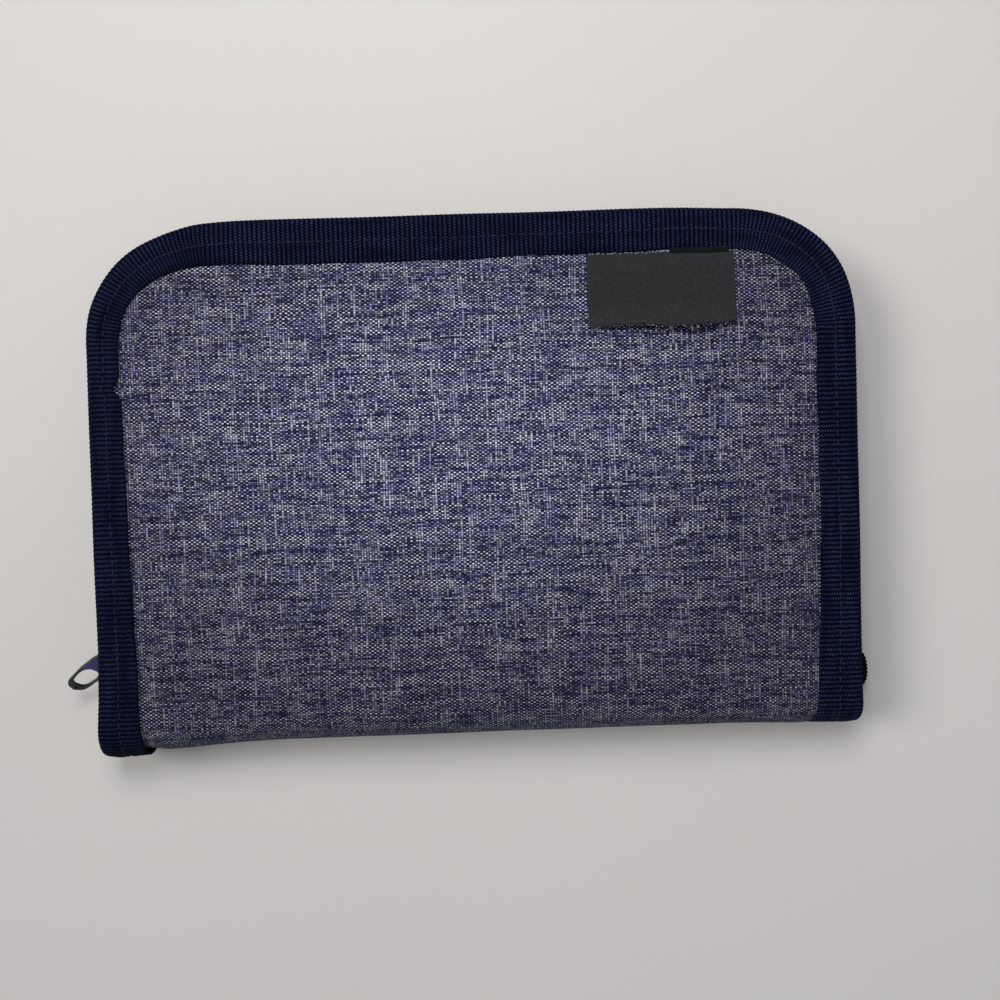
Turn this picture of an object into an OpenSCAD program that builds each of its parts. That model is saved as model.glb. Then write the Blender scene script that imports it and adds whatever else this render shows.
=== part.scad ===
// Zip-around travel document organizer, closed and lying flat on its back cover.
// Millimetres. +X runs along the spine, +Y from the spine to the top edge, +Z up.
// The origin is the centre of the face that the case rests on.

/* [Case] */
// Width across the bound edges
case_w = 240; // [225:1:280]
// Depth from the spine to the top edge
case_d = 166; // [160:1:200]
// Thickness when closed
case_t = 24; // [24:0.5:34]
// Outer radius of the two top corners
corner_r = 38; // [25:1:50]

/* [Cover layers] */
// Thickness of the outer cloth
shell_t = 0.8; // [0.6:0.1:1]
// Thickness of the foam board in each panel
foam_t = 2; // [1.5:0.1:2.4]
// Thickness of the lining cloth
lining_t = 0.5; // [0.4:0.1:0.7]
// Thickness of the ribbed edge binding
bind_t = 0.8; // [0.6:0.1:1]
// Width of the edge binding on each face
bind_w = 12.5; // [11:0.5:13]

/* [Main zip] */
// Distance of the zip wall from the bound edge
zip_inset = 8; // [7:0.5:9]
// Thickness of the zip tape
tape_t = 0.8; // [0.6:0.1:1]
// Thickness of a row of coil teeth
teeth_t = 2.2; // [1.8:0.1:2.4]
// Height of a row of coil teeth
teeth_h = 2.4; // [2:0.1:2.6]
// Gap between the two rows, which the slider's post runs in
teeth_gap = 1.6; // [1.4:0.1:2]
// Distance of the closed slider from the spine's outer face
slider_from_spine = 33; // [31:0.5:40]

/* [Zip pull] */
// Length of the pull
pull_len = 23; // [21:0.5:26]
// Width of the pull
pull_w = 9; // [8:0.1:9.4]
// Thickness of the pull
pull_t = 1.1; // [0.9:0.1:1.2]
// Turn of the pull from straight out towards the spine, in degrees
pull_yaw = 38; // [0:1:42]
// Roll of the loosely held pull about its own length, in degrees
pull_roll = 45; // [0:1:45]
// Droop of the pull's tip, in degrees
pull_droop = 8; // [0:1:10]

/* [Pockets] */
// Clear depth of the passport pocket and of the zipped pocket
pocket_gap = 4.6; // [4.4:0.1:4.6]
// Thickness of the pocket cloth
pocket_t = 0.6; // [0.4:0.1:0.7]
// Clear depth of each card slot and of the ticket slip
slot_gap = 0.9; // [0.8:0.1:1]
// Inner radius of the pen loop
pen_r = 5; // [4:0.5:5]

/* [Hidden] */
$fn = 64;
eps = 1;              // how far a cutting shape runs past what it cuts
fit_gap = 0.3;        // clearance between parts that move past each other

half_w = case_w / 2;
top_y = case_d / 2;
spine_y = -case_d / 2;
mid_z = case_t / 2;

// Layers of a cover, counted from its outer face inwards
edge_lift = 0.1;                               // the binding sits this far behind the outer face
edge_shell_z = edge_lift + bind_t;
edge_lining_z = edge_shell_z + shell_t;
edge_t = 2 * bind_t + shell_t + lining_t;      // whole thickness of the bound edge
edge_in_z = edge_lift + edge_t;                // inner face of the bound edge
panel_in_z = shell_t + foam_t + lining_t;      // inner face of the padded panel
panel_inset = bind_w + 0.1;                    // the padded panel starts inside the binding
foam_inset = panel_inset + shell_t;

// Fold lines: a roll of cloth on each long side of the spine, on the fold's own axis
fold_r = 2.2;
fold_y = spine_y + fold_r;
fold_z = [fold_r, case_t - fold_r];
panel_end_y = fold_y + fold_r + fit_gap;       // where the covers stop short of the roll

// Main zip, on a wall that follows the edge
zip_x = half_w - zip_inset;
row_z = mid_z - teeth_gap / 2 - teeth_h;       // underside of the back cover's row
tape_end_y = spine_y + 9;
left_row_end_y = spine_y + slider_from_spine - 8;
right_row_end_y = spine_y + 29;
slider_y = spine_y + slider_from_spine;

// Pockets
pocket_y = spine_y + 17;
pocket_half_w = half_w - 16;
gusset_t = 0.8;
passport_w = 96;
passport_h = 100;
passport_x = -pocket_half_w + 2;
card_w = 94;
card_x = 6;
card_step = 18;
card_h = 46;
card_seam_w = 2.5;
slip_h = 74;
zip_pocket_h = 106;
zip_pocket_y = pocket_y + zip_pocket_h;        // lower edge of the pocket's zip tape
pocket_panel_z = panel_in_z + pocket_gap;      // depth at which a deep pocket's cloth starts

// Pocket zip: a finer coil, lying flat in the pocket's cloth
pocket_tape_w = 6;
pocket_teeth_h = 1.8;
pocket_teeth_t = 1.6;
pocket_teeth_gap = 1.2;
pocket_zip_half = pocket_half_w - 10;
pocket_zip_y = zip_pocket_y + pocket_tape_w + pocket_teeth_h + pocket_teeth_gap / 2;
pocket_zip_z = pocket_panel_z + pocket_t / 2;
pocket_slider_x = -pocket_zip_half + 6;

// ---------------------------------------------------------------- shared shapes

// A cover's outline, inset from its bound edge: straight at the spine end, round at the top corners
module cover_outline(inset, end_y) {
    w = half_w - inset;
    r = corner_r - inset;
    y1 = top_y - inset;
    translate([-w, end_y]) square([2 * w, y1 - r - end_y]);
    translate([r - w, end_y]) square([2 * (w - r), y1 - end_y]);
    for (side = [-1, 1]) translate([side * (w - r), y1 - r]) circle(r);
}

// A band that follows the left, top and right edges between two insets
module edge_band(outer_inset, inner_inset, end_y) {
    difference() {
        cover_outline(outer_inset, end_y);
        cover_outline(inner_inset, end_y - eps);
    }
}

// Turns a cover that is drawn from its outer face inwards into the front cover
module as_front() {
    translate([0, 0, case_t]) mirror([0, 0, 1]) children();
}

module block(size, at) {
    translate(at) cube(size);
}

// A flat strip with one round end, towards +X
module round_ended(length, width) {
    r = width / 2;
    translate([0, -r]) square([length - r, width]);
    translate([length - r, 0]) circle(r);
}

// ---------------------------------------------------------------- the two covers

// Outer cloth: formed over the foam board, and thin where the binding grips it
module cover_shell() {
    color("slategray") difference() {
        union() {
            translate([0, 0, edge_shell_z]) linear_extrude(shell_t) cover_outline(bind_t, panel_end_y);
            linear_extrude(edge_lining_z) cover_outline(panel_inset, panel_end_y);
        }
        translate([0, 0, shell_t]) linear_extrude(edge_lining_z) cover_outline(foam_inset, panel_end_y + shell_t);
    }
}

module cover_foam() {
    color("dimgray") translate([0, 0, shell_t])
        linear_extrude(foam_t) cover_outline(foam_inset, panel_end_y + shell_t);
}

module cover_lining() {
    color("midnightblue") difference() {
        union() {
            translate([0, 0, edge_lining_z]) linear_extrude(lining_t) cover_outline(bind_t, panel_end_y);
            translate([0, 0, edge_lining_z]) linear_extrude(panel_in_z - edge_lining_z)
                cover_outline(panel_inset, panel_end_y);
        }
        translate([0, 0, shell_t]) linear_extrude(foam_t) cover_outline(foam_inset, panel_end_y + shell_t);
    }
}

// Folded tape that grips the raw edge of cloth and lining
module cover_binding() {
    color("navy") difference() {
        translate([0, 0, edge_lift]) linear_extrude(edge_t) edge_band(0, bind_w, panel_end_y);
        translate([0, 0, edge_shell_z]) linear_extrude(shell_t + lining_t)
            cover_outline(bind_t, panel_end_y - eps);
    }
}

// Wall of zip tape that stands on the bound edge
module cover_zip_tape() {
    color("darkblue") translate([0, 0, edge_in_z]) linear_extrude(row_z - edge_in_z)
        edge_band(zip_inset - tape_t / 2, zip_inset + tape_t / 2, tape_end_y);
}

// Row of coil teeth along the top of the tape, ending nearer the spine on the left
module cover_zip_teeth() {
    color("darkslateblue") translate([0, 0, row_z]) linear_extrude(teeth_h) difference() {
        edge_band(zip_inset - teeth_t / 2, zip_inset + teeth_t / 2, left_row_end_y);
        translate([0, left_row_end_y - eps]) square([half_w, right_row_end_y - left_row_end_y + eps]);
    }
}

// Stop crimped on the tape past the closed end of the row
module cover_zip_stop() {
    stop_len = 3;
    stop_t = 2.8;
    color("gray") block([stop_t, stop_len, teeth_h], [-zip_x - stop_t / 2, left_row_end_y - stop_len - 0.1, row_z]);
}

module back_shell() { cover_shell(); }
module back_foam_board() { cover_foam(); }
module back_lining() { cover_lining(); }
module back_edge_binding() { cover_binding(); }
module back_zip_tape() { cover_zip_tape(); }
module back_zip_teeth() { cover_zip_teeth(); }
module back_zip_stop() { cover_zip_stop(); }
module front_shell() { as_front() cover_shell(); }
module front_foam_board() { as_front() cover_foam(); }
module front_lining() { as_front() cover_lining(); }
module front_edge_binding() { as_front() cover_binding(); }
module front_zip_tape() { as_front() cover_zip_tape(); }
module front_zip_teeth() { as_front() cover_zip_teeth(); }
module front_zip_stop() { as_front() cover_zip_stop(); }

// Box stop at the fixed end of the zip, on the right
module zip_bottom_stop() {
    stop_len = 3;
    stop_t = 3.4;
    color("gray") block([stop_t, stop_len, teeth_h + teeth_gap + 1],
                        [zip_x - stop_t / 2, right_row_end_y - stop_len - 0.1, row_z]);
}

// Folded tape tab sewn to the fixed end of the zip; it stands out past the bound edge
module zip_end_tab() {
    tab_w = 15;
    tab_t = 1.8;
    stand_out = 7.5;
    reach = zip_inset - tape_t / 2 + stand_out;
    round_r = 5;
    color("navy") translate([zip_x + tape_t / 2, tape_end_y + tab_w / 2, row_z - 0.4 - tab_t]) linear_extrude(tab_t) {
        translate([0, -tab_w / 2]) square([reach - round_r, tab_w]);
        translate([0, round_r - tab_w / 2]) square([reach, tab_w - 2 * round_r]);
        for (side = [-1, 1]) translate([reach - round_r, side * (tab_w / 2 - round_r)]) circle(round_r);
    }
}

// ---------------------------------------------------------------- the spine

module fold_rolls(x0, length) {
    for (z = fold_z) translate([x0, fold_y, z]) rotate([0, 90, 0]) cylinder(h = length, r = fold_r);
}

// Outer cloth of the spine, with its two fold rolls
module spine_shell() {
    inner_half = half_w - bind_w;
    wall_z = 2 * fold_r + fit_gap;
    color("slategray") {
        fold_rolls(-inner_half, 2 * inner_half);
        block([2 * inner_half, shell_t, case_t - 2 * fold_r], [-inner_half, spine_y, fold_r]);
        block([2 * (half_w - bind_t), shell_t, case_t - 2 * wall_z], [bind_t - half_w, spine_y + shell_t, wall_z]);
    }
}

module spine_foam_board() {
    inner_half = half_w - foam_inset;
    wall_z = 2 * fold_r + fit_gap;
    color("dimgray") block([2 * inner_half, foam_t - shell_t, case_t - 2 * wall_z],
                           [-inner_half, spine_y + 2 * shell_t, wall_z]);
}

module spine_lining() {
    edge_half = half_w - bind_t;
    inner_half = half_w - panel_inset;
    wall_z = 2 * fold_r + fit_gap;
    depth = shell_t + foam_t;
    color("midnightblue") difference() {
        union() {
            block([2 * edge_half, lining_t, case_t - 2 * wall_z], [-edge_half, spine_y + 2 * shell_t, wall_z]);
            block([2 * inner_half, depth + lining_t - 2 * shell_t, case_t - 2 * wall_z],
                  [-inner_half, spine_y + 2 * shell_t, wall_z]);
        }
        block([2 * (half_w - foam_inset), foam_t - shell_t, case_t],
              [foam_inset - half_w, spine_y + 2 * shell_t, 0]);
    }
}

// Binding folded round one end of the spine; side is -1 on the left, 1 on the right
module spine_binding(side) {
    wall_z = 2 * fold_r + fit_gap;
    outer_x = side * half_w;
    x0 = min(outer_x, outer_x - side * bind_w);
    slot_x0 = min(outer_x - side * bind_t, outer_x - side * (bind_w + eps));
    color("navy") difference() {
        union() {
            fold_rolls(x0, bind_w);
            block([bind_w, shell_t, case_t - 2 * fold_r], [x0, spine_y, fold_r]);
            block([bind_w, 2 * shell_t + lining_t + bind_t, case_t - 2 * wall_z], [x0, spine_y, wall_z]);
        }
        block([bind_w + eps - bind_t, shell_t + lining_t, case_t - 2 * wall_z],
              [slot_x0, spine_y + shell_t, wall_z]);
    }
}

module spine_binding_left() { spine_binding(-1); }
module spine_binding_right() { spine_binding(1); }

// Elastic loop on the spine's lining, with its axis along the spine
module pen_loop() {
    loop_w = 18;
    band_t = 0.8;
    foot_t = 0.8;
    lining_y = spine_y + shell_t + foam_t + lining_t;
    color("black") translate([-loop_w / 2, lining_y + pen_r + band_t, mid_z]) rotate([0, 90, 0]) difference() {
        union() {
            cylinder(h = loop_w, r = pen_r + band_t);
            translate([-pen_r, -pen_r - band_t, 0]) cube([2 * pen_r, foot_t, loop_w]);
        }
        translate([0, 0, -eps]) cylinder(h = loop_w + 2 * eps, r = pen_r);
    }
}

// ---------------------------------------------------------------- pockets on the back cover

module passport_pocket() {
    color("darkslategray") block([passport_w, passport_h, pocket_t], [passport_x, pocket_y, pocket_panel_z]);
}

// Side and bottom walls of a deep pocket, between the lining and the pocket's cloth
module pocket_gusset(x0, w, h, gap) {
    translate([x0, pocket_y, panel_in_z]) linear_extrude(gap) {
        square([w, gusset_t]);
        square([gusset_t, h]);
        translate([w - gusset_t, 0]) square([gusset_t, h]);
    }
}

module passport_gusset() {
    color("midnightblue") pocket_gusset(passport_x, passport_w, passport_h, pocket_gap);
}

// Card slot cloth; level 0 is the lowest slot, which lies on top
module card_slot(level) {
    depth = panel_in_z + slot_gap + (2 - level) * (slot_gap + pocket_t);
    color("darkslategray") block([card_w, card_h + level * card_step, pocket_t], [card_x, pocket_y, depth]);
}

module card_slot_lower() { card_slot(0); }
module card_slot_middle() { card_slot(1); }
module card_slot_upper() { card_slot(2); }

// Sewn edges of the card slots: one thin U under each slot's cloth
module card_slot_trim() {
    color("navy") for (level = [0:2])
        translate([card_x, pocket_y, panel_in_z + (2 - level) * (slot_gap + pocket_t)])
            seam_u(card_w, card_h + level * card_step);
}

module seam_u(w, h) {
    linear_extrude(slot_gap) {
        square([w, card_seam_w]);
        square([card_seam_w, h]);
        translate([w - card_seam_w, 0]) square([card_seam_w, h]);
    }
}

// ---------------------------------------------------------------- pockets on the front cover

// Label caught in the binding's seam, and the plain patch that lies over it
module label_tab() {
    color("black") block([22.5, 6, 0.3], [58, top_y - bind_w - 5.5, case_t]);
}

module label_patch() {
    color("darkslategray") block([46, 23, 0.5], [36, top_y - bind_w - 23.5, case_t + 0.3]);
}

module zip_pocket_panel() {
    color("darkslategray") as_front()
        block([2 * pocket_half_w, zip_pocket_h, pocket_t], [-pocket_half_w, pocket_y, pocket_panel_z]);
}

module zip_pocket_gusset() {
    color("midnightblue") as_front()
        pocket_gusset(-pocket_half_w, 2 * pocket_half_w, zip_pocket_h, pocket_gap);
}

// Strip of cloth that carries the zip's upper tape down to the lining
module zip_pocket_header() {
    header_y = pocket_zip_y + pocket_teeth_gap / 2 + pocket_teeth_h + pocket_tape_w;
    color("midnightblue") as_front()
        block([2 * pocket_zip_half, 1.2, pocket_gap + pocket_t], [-pocket_zip_half, header_y, panel_in_z]);
}

module pocket_zip_tape_lower() {
    color("darkblue") as_front()
        block([2 * pocket_zip_half, pocket_tape_w, pocket_t], [-pocket_zip_half, zip_pocket_y, pocket_panel_z]);
}

module pocket_zip_tape_upper() {
    tape_y = pocket_zip_y + pocket_teeth_gap / 2 + pocket_teeth_h;
    color("darkblue") as_front()
        block([2 * pocket_zip_half, pocket_tape_w, pocket_t], [-pocket_zip_half, tape_y, pocket_panel_z]);
}

module pocket_zip_teeth() {
    color("black") as_front() for (row_y = [pocket_zip_y - pocket_teeth_gap / 2 - pocket_teeth_h,
                                            pocket_zip_y + pocket_teeth_gap / 2])
        block([2 * pocket_zip_half, pocket_teeth_h, pocket_teeth_t],
              [-pocket_zip_half, row_y, pocket_zip_z - pocket_teeth_t / 2]);
}

// Shallow slip pocket for boarding passes, over the zipped pocket's cloth
module ticket_slip() {
    color("darkslategray") as_front()
        block([2 * pocket_half_w, slip_h, pocket_t],
              [-pocket_half_w, pocket_y, pocket_panel_z + pocket_t + slot_gap]);
}

module ticket_slip_trim() {
    color("navy") as_front() translate([-pocket_half_w, pocket_y, pocket_panel_z + pocket_t])
        seam_u(2 * pocket_half_w, slip_h);
}

// ---------------------------------------------------------------- sliders and pulls

// Slider drawn with its outer plate towards +X and its nose towards +Y.
// lip_sides lists the sides, -1 or 1 along Z, that have lips round the row of teeth.
module slider(len, width, chain_t, plate_t, post_w, lip_z, lip_reach, crown_h, lip_sides) {
    inner_x = chain_t / 2 + fit_gap;
    half = width / 2;
    plate = [
        [-len / 2, -half + 1], [-len / 2 + 1, -half], [len / 2 - 2, -half], [len / 2, -half + 2],
        [len / 2, half - 2], [len / 2 - 2, half], [-len / 2 + 1, half], [-len / 2, half - 1]
    ];
    for (side = [-1, 1]) translate([side > 0 ? inner_x : -inner_x - plate_t, 0, 0])
        rotate([90, 0, 90]) linear_extrude(plate_t) polygon(plate);
    block([2 * inner_x, 4, post_w], [-inner_x, len / 2 - 4.5, -post_w / 2]);
    for (lip = lip_sides) for (side = [-1, 1])
        block([lip_reach, len - 3, half - lip_z],
              [side > 0 ? inner_x - lip_reach : -inner_x, -len / 2 + 1, lip > 0 ? lip_z : -half]);
    crown(inner_x + plate_t, crown_h);
}

crown_bar_t = 1.2;    // thickness of the crown's bar
crown_bar_w = 1.2;    // width of the crown's bar across the slider
crown_half = 3.6;     // half the clear length under the crown

// Arch on the outer plate that holds the pull
module crown(base_x, clear_h) {
    translate([base_x, 0, -crown_bar_w / 2]) linear_extrude(crown_bar_w) {
        for (side = [-1, 1]) translate([0, side > 0 ? crown_half : -crown_half - crown_bar_t])
            square([clear_h, crown_bar_t]);
        translate([clear_h, -crown_half]) square([crown_bar_t, 2 * crown_half]);
        for (side = [-1, 1]) translate([clear_h, side * crown_half]) intersection() {
            circle(crown_bar_t);
            translate([0, side > 0 ? 0 : -crown_bar_t]) square(crown_bar_t);
        }
    }
}

// Flat pull drawn along -X from its pivot bar, with its width along Z.
// The eye is the square hole that the crown runs through, in a narrow neck with rails of width bar.
// The window is the oval hole near the tip.
module pull(length, width, thick, eye_len, eye_w, window_len, window_w, bar) {
    tip_wall = 2.4;
    neck_len = eye_len + bar;
    window_x = length - bar / 2 - tip_wall - window_len;
    rotate([90, 0, 0]) translate([0, 0, -thick / 2]) linear_extrude(thick) mirror([1, 0]) difference() {
        union() {
            translate([-bar / 2, -eye_w / 2 - bar]) square([neck_len + bar, eye_w + 2 * bar]);
            translate([neck_len - bar / 2, 0]) round_ended(length - neck_len, width);
        }
        translate([bar / 2, -eye_w / 2]) square([eye_len, eye_w]);
        translate([window_x + window_w / 2, -window_w / 2]) square([window_len - window_w, window_w]);
        for (x = [window_x + window_w / 2, window_x + window_len - window_w / 2])
            translate([x, 0]) circle(window_w / 2);
    }
}

slider_crown_h = 4.2;
slider_plate_t = 1.2;
slider_face = teeth_t / 2 + fit_gap + slider_plate_t;
pull_bar = 1.3;

// The front cover's row lifts out of this slider, so only the back cover's row has lips round it
module zip_slider() {
    color("midnightblue") translate([-zip_x, slider_y, mid_z]) rotate([0, 0, 180])
        slider(13, 10, teeth_t, slider_plate_t, teeth_gap - 2 * fit_gap, teeth_h + teeth_gap / 2 + fit_gap,
               teeth_t / 2 + fit_gap - tape_t / 2 - fit_gap, slider_crown_h, [-1]);
}

module zip_pull() {
    pivot_x = -zip_x - slider_face - slider_crown_h * 2 / 3;
    color("darkslateblue") translate([pivot_x, slider_y, mid_z]) rotate([-pull_roll, -pull_droop, pull_yaw])
        pull(pull_len, pull_w, pull_t, 6, 4.8, 7.4, 6.4, pull_bar);
}

pocket_slider_face = pocket_teeth_t / 2 + fit_gap + 0.8;
pocket_crown_h = 2;
pocket_pull_t = 0.9;

module pocket_zip_slider() {
    color("black") as_front() translate([pocket_slider_x, pocket_zip_y, pocket_zip_z]) mirror([0, 0, 1])
        rotate([0, 90, 90])
            slider(9.6, 8, pocket_teeth_t, 0.8, pocket_teeth_gap - 2 * fit_gap,
                   pocket_teeth_h + pocket_teeth_gap / 2 + fit_gap,
                   pocket_teeth_t / 2 - pocket_t / 2, pocket_crown_h, [-1, 1]);
}

// Lies flat along the zip, towards the end that opens
module pocket_zip_pull() {
    color("dimgray") as_front()
        translate([pocket_slider_x, pocket_zip_y, pocket_zip_z + pocket_slider_face + pocket_crown_h / 2])
            rotate([90, 0, 180]) pull(17, 5.2, pocket_pull_t, 4.8, 3, 6, 3, 1);
}

// ---------------------------------------------------------------- one line per node

back_shell();
back_foam_board();
back_lining();
back_edge_binding();
back_zip_tape();
back_zip_teeth();
back_zip_stop();
zip_bottom_stop();
zip_end_tab();
passport_pocket();
passport_gusset();
card_slot_upper();
card_slot_middle();
card_slot_lower();
card_slot_trim();
spine_shell();
spine_foam_board();
spine_lining();
spine_binding_left();
spine_binding_right();
pen_loop();
front_shell();
front_foam_board();
front_lining();
front_edge_binding();
front_zip_tape();
front_zip_teeth();
front_zip_stop();
label_tab();
label_patch();
zip_pocket_panel();
zip_pocket_gusset();
zip_pocket_header();
pocket_zip_tape_lower();
pocket_zip_tape_upper();
pocket_zip_teeth();
ticket_slip();
ticket_slip_trim();
zip_slider();
zip_pull();
pocket_zip_slider();
pocket_zip_pull();
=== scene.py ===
"""Looks of a zip-around travel document organizer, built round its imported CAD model.

Lengths are in millimetres until a mesh is made, and places come from the CAD nodes' boxes.
"""

import math

import bpy
import numpy as np
from mathutils import Euler, Matrix, Vector
from mathutils.geometry import tessellate_polygon


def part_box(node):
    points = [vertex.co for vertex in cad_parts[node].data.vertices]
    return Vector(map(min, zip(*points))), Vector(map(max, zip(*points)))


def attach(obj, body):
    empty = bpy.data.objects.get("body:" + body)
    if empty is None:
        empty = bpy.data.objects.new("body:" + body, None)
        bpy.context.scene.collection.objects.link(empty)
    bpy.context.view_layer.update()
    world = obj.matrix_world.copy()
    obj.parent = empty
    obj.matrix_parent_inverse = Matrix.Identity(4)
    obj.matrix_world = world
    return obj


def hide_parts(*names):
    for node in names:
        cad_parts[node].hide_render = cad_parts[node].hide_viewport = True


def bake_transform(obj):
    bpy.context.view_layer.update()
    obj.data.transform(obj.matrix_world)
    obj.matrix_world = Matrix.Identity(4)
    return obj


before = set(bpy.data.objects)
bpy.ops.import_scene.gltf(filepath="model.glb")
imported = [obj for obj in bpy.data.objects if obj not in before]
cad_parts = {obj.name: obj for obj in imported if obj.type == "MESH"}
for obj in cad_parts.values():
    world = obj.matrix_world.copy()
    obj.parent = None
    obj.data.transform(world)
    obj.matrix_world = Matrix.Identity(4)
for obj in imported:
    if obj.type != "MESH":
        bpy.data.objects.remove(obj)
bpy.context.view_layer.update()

MM = 0.001
PI = math.pi


def node_box(node):
    """The lowest and highest corner of a CAD node, in millimetres."""
    low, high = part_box(node)
    return np.array(low) / MM, np.array(high) / MM


# ------------------------------------------------------------------ sizes, from the CAD nodes

HALF_W = node_box("front_edge_binding")[1][0]
TOP_Y = node_box("front_edge_binding")[1][1]
SPINE_Y = node_box("spine_shell")[0][1]
THICK = node_box("front_shell")[1][2]
MID_Z = THICK / 2
CORNER_R = 38.0
BIND_W = HALF_W - node_box("front_foam_board")[1][0] - 0.9
EDGE_T = 3.0  # thickness of the bound edge of a cover

# The closed spine rounds over from cover to cover
FOLD_R = 10.5
FOLD_Y = SPINE_Y - 0.4
FOLD_FLAT = MID_Z - FOLD_R
FOLD_S = FOLD_FLAT + FOLD_R * PI / 2  # length of cloth from mid-spine to the flat cover
SIDE_S = FOLD_S + (TOP_Y - CORNER_R) - (FOLD_Y + FOLD_R)
ARC_S = CORNER_R * PI / 2
TOP_S = 2 * (HALF_W - CORNER_R)
EDGE_S = 2 * SIDE_S + 2 * ARC_S + TOP_S  # whole length of a cover's bound edge


# ------------------------------------------------------------------ mesh helpers


def add_mesh(name, verts, faces, material, loop_uv=None, smooth=True):
    """Adds a mesh to the scene from points in millimetres."""
    mesh = bpy.data.meshes.new(name)
    mesh.from_pydata((np.asarray(verts, float) * MM).tolist(), [], faces)
    if loop_uv is not None:
        layer = mesh.uv_layers.new(name="cloth")
        layer.data.foreach_set("uv", np.asarray(loop_uv, np.float32).ravel())
    mesh.materials.append(material)
    mesh.polygons.foreach_set("use_smooth", np.full(len(mesh.polygons), smooth))
    obj = bpy.data.objects.new(name, mesh)
    bpy.context.scene.collection.objects.link(obj)
    return obj


def stack(*parts):
    """Points or coordinates from their separate parts, spread to one shape."""
    return np.stack(np.broadcast_arrays(*parts), -1)


def unit(vectors):
    return vectors / np.linalg.norm(vectors, axis=1)[:, None]


def run_of(line):
    """Distance along a line of points, at each point."""
    return np.concatenate([[0], np.cumsum(np.linalg.norm(np.diff(line, axis=0), axis=1))])


def turned_round(*grids):
    """Grids with their columns in the opposite order, so that the faces point the other way."""
    return [grid[:, ::-1] for grid in grids]


def grid_faces(n, m, wrap=False):
    """Quads of an n by m grid of vertices, and for each the grid places of its corners."""
    i, j = np.meshgrid(np.arange(n - 1), np.arange(m if wrap else m - 1), indexing="ij")
    corners = [(i, j), (i, j + 1), (i + 1, j + 1), (i + 1, j)]
    faces = np.stack([(a * m + b % m).ravel() for a, b in corners], -1)
    return faces, [(a.ravel(), b.ravel()) for a, b in corners]


def grid_uv(uv, places):
    return np.stack([uv[a, b] for a, b in places], 1).reshape(-1, 2)


def shell(name, outer, inner, uv, material):
    """A closed thin solid between two grids of the same shape."""
    n, m = outer.shape[:2]
    faces, places = grid_faces(n, m)
    rim = [(i, 0) for i in range(n)] + [(n - 1, j) for j in range(1, m)]
    rim += [(i, m - 1) for i in range(n - 2, -1, -1)] + [(0, j) for j in range(m - 2, 0, -1)]
    ids = np.array([i * m + j for i, j in rim])
    follow = np.roll(ids, -1)
    side = np.stack([ids, follow, follow + n * m, ids + n * m], -1)
    flat_uv = uv.reshape(-1, 2)
    side_uv = flat_uv[np.stack([ids, follow, follow, ids], 1)].reshape(-1, 2)
    verts = np.concatenate([outer.reshape(-1, 3), inner.reshape(-1, 3)])
    all_faces = np.concatenate([faces, faces[:, ::-1] + n * m, side]).tolist()
    all_uv = np.concatenate([grid_uv(uv, places), grid_uv(uv, places[::-1]), side_uv])
    return add_mesh(name, verts, all_faces, material, all_uv)


def ring_sweep(name, rings, uv, material):
    """A closed solid from rings of points; uv has one column more than the rings, for the seam."""
    n, m = rings.shape[:2]
    faces, places = grid_faces(n, m, wrap=True)
    caps = [list(range(m))[::-1], [(n - 1) * m + j for j in range(m)]]
    all_uv = np.concatenate([grid_uv(uv, places), uv[0, :m][::-1], uv[n - 1, :m]])
    return add_mesh(name, rings.reshape(-1, 3), faces.tolist() + caps, material, all_uv)


def capsule(length, radius):
    """Vertices and faces of a thread stitch along X that dips at both ends."""
    rings, sides = 7, 6
    t = np.linspace(-1, 1, rings)
    a = np.arange(sides) * 2 * PI / sides
    r = radius * np.sqrt(np.clip(1 - t**4, 0.06, 1))
    x = np.repeat(t * length / 2, sides)
    y = np.outer(r, np.cos(a)).ravel()
    z = np.outer(r, np.sin(a)).ravel() - np.repeat(0.9 * radius * t**4, sides)
    faces, _ = grid_faces(rings, sides, wrap=True)
    caps = [list(range(sides))[::-1], [(rings - 1) * sides + j for j in range(sides)]]
    return stack(x, y, z), faces.tolist() + caps


def scatter(name, template, origins, along, across, up, material):
    """One mesh of many copies of a template, each with its own axes."""
    verts, faces = template
    axes = np.stack([along, across, up], 1)
    spread = origins[:, None] + np.einsum("vk,ckx->cvx", verts, axes)
    all_faces = [[i + c * len(verts) for i in f] for c in range(len(origins)) for f in faces]
    return add_mesh(name, spread.reshape(-1, 3), all_faces, material)


def smoothstep(x, low, high):
    t = np.clip((x - low) / (high - low), 0, 1)
    return t * t * (3 - 2 * t)


def near(x, at, reach):
    """A smooth bump, 1 at a place and fading over reach."""
    return np.exp(-(((x - at) / reach) ** 2))


def waves(x, y, size, seed):
    """A smooth wavy height from -1 to 1, the same on each run."""
    rng = np.random.default_rng(seed)
    total = np.zeros(np.broadcast(x, y).shape)
    for _ in range(9):
        angle, phase = rng.uniform(0, 2 * PI, 2)
        k = 2 * PI / (size * rng.uniform(0.6, 1.7))
        total = total + np.sin(k * (x * math.cos(angle) + y * math.sin(angle)) + phase)
    return total / 4.5


# ------------------------------------------------------------------ the line of the bound edge


def fold_line(s):
    """Place (y, z) and outward normal of the front cover's outer cloth, s mm from mid-spine."""
    s = np.asarray(s, float)
    angle = np.clip((s - FOLD_FLAT) / FOLD_R, 0, PI / 2)
    y = FOLD_Y + FOLD_R * (1 - np.cos(angle)) + np.maximum(s - FOLD_S, 0)
    z = MID_Z + np.minimum(s, FOLD_FLAT) + FOLD_R * np.sin(angle)
    return y, z, -np.cos(angle), np.sin(angle)


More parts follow.
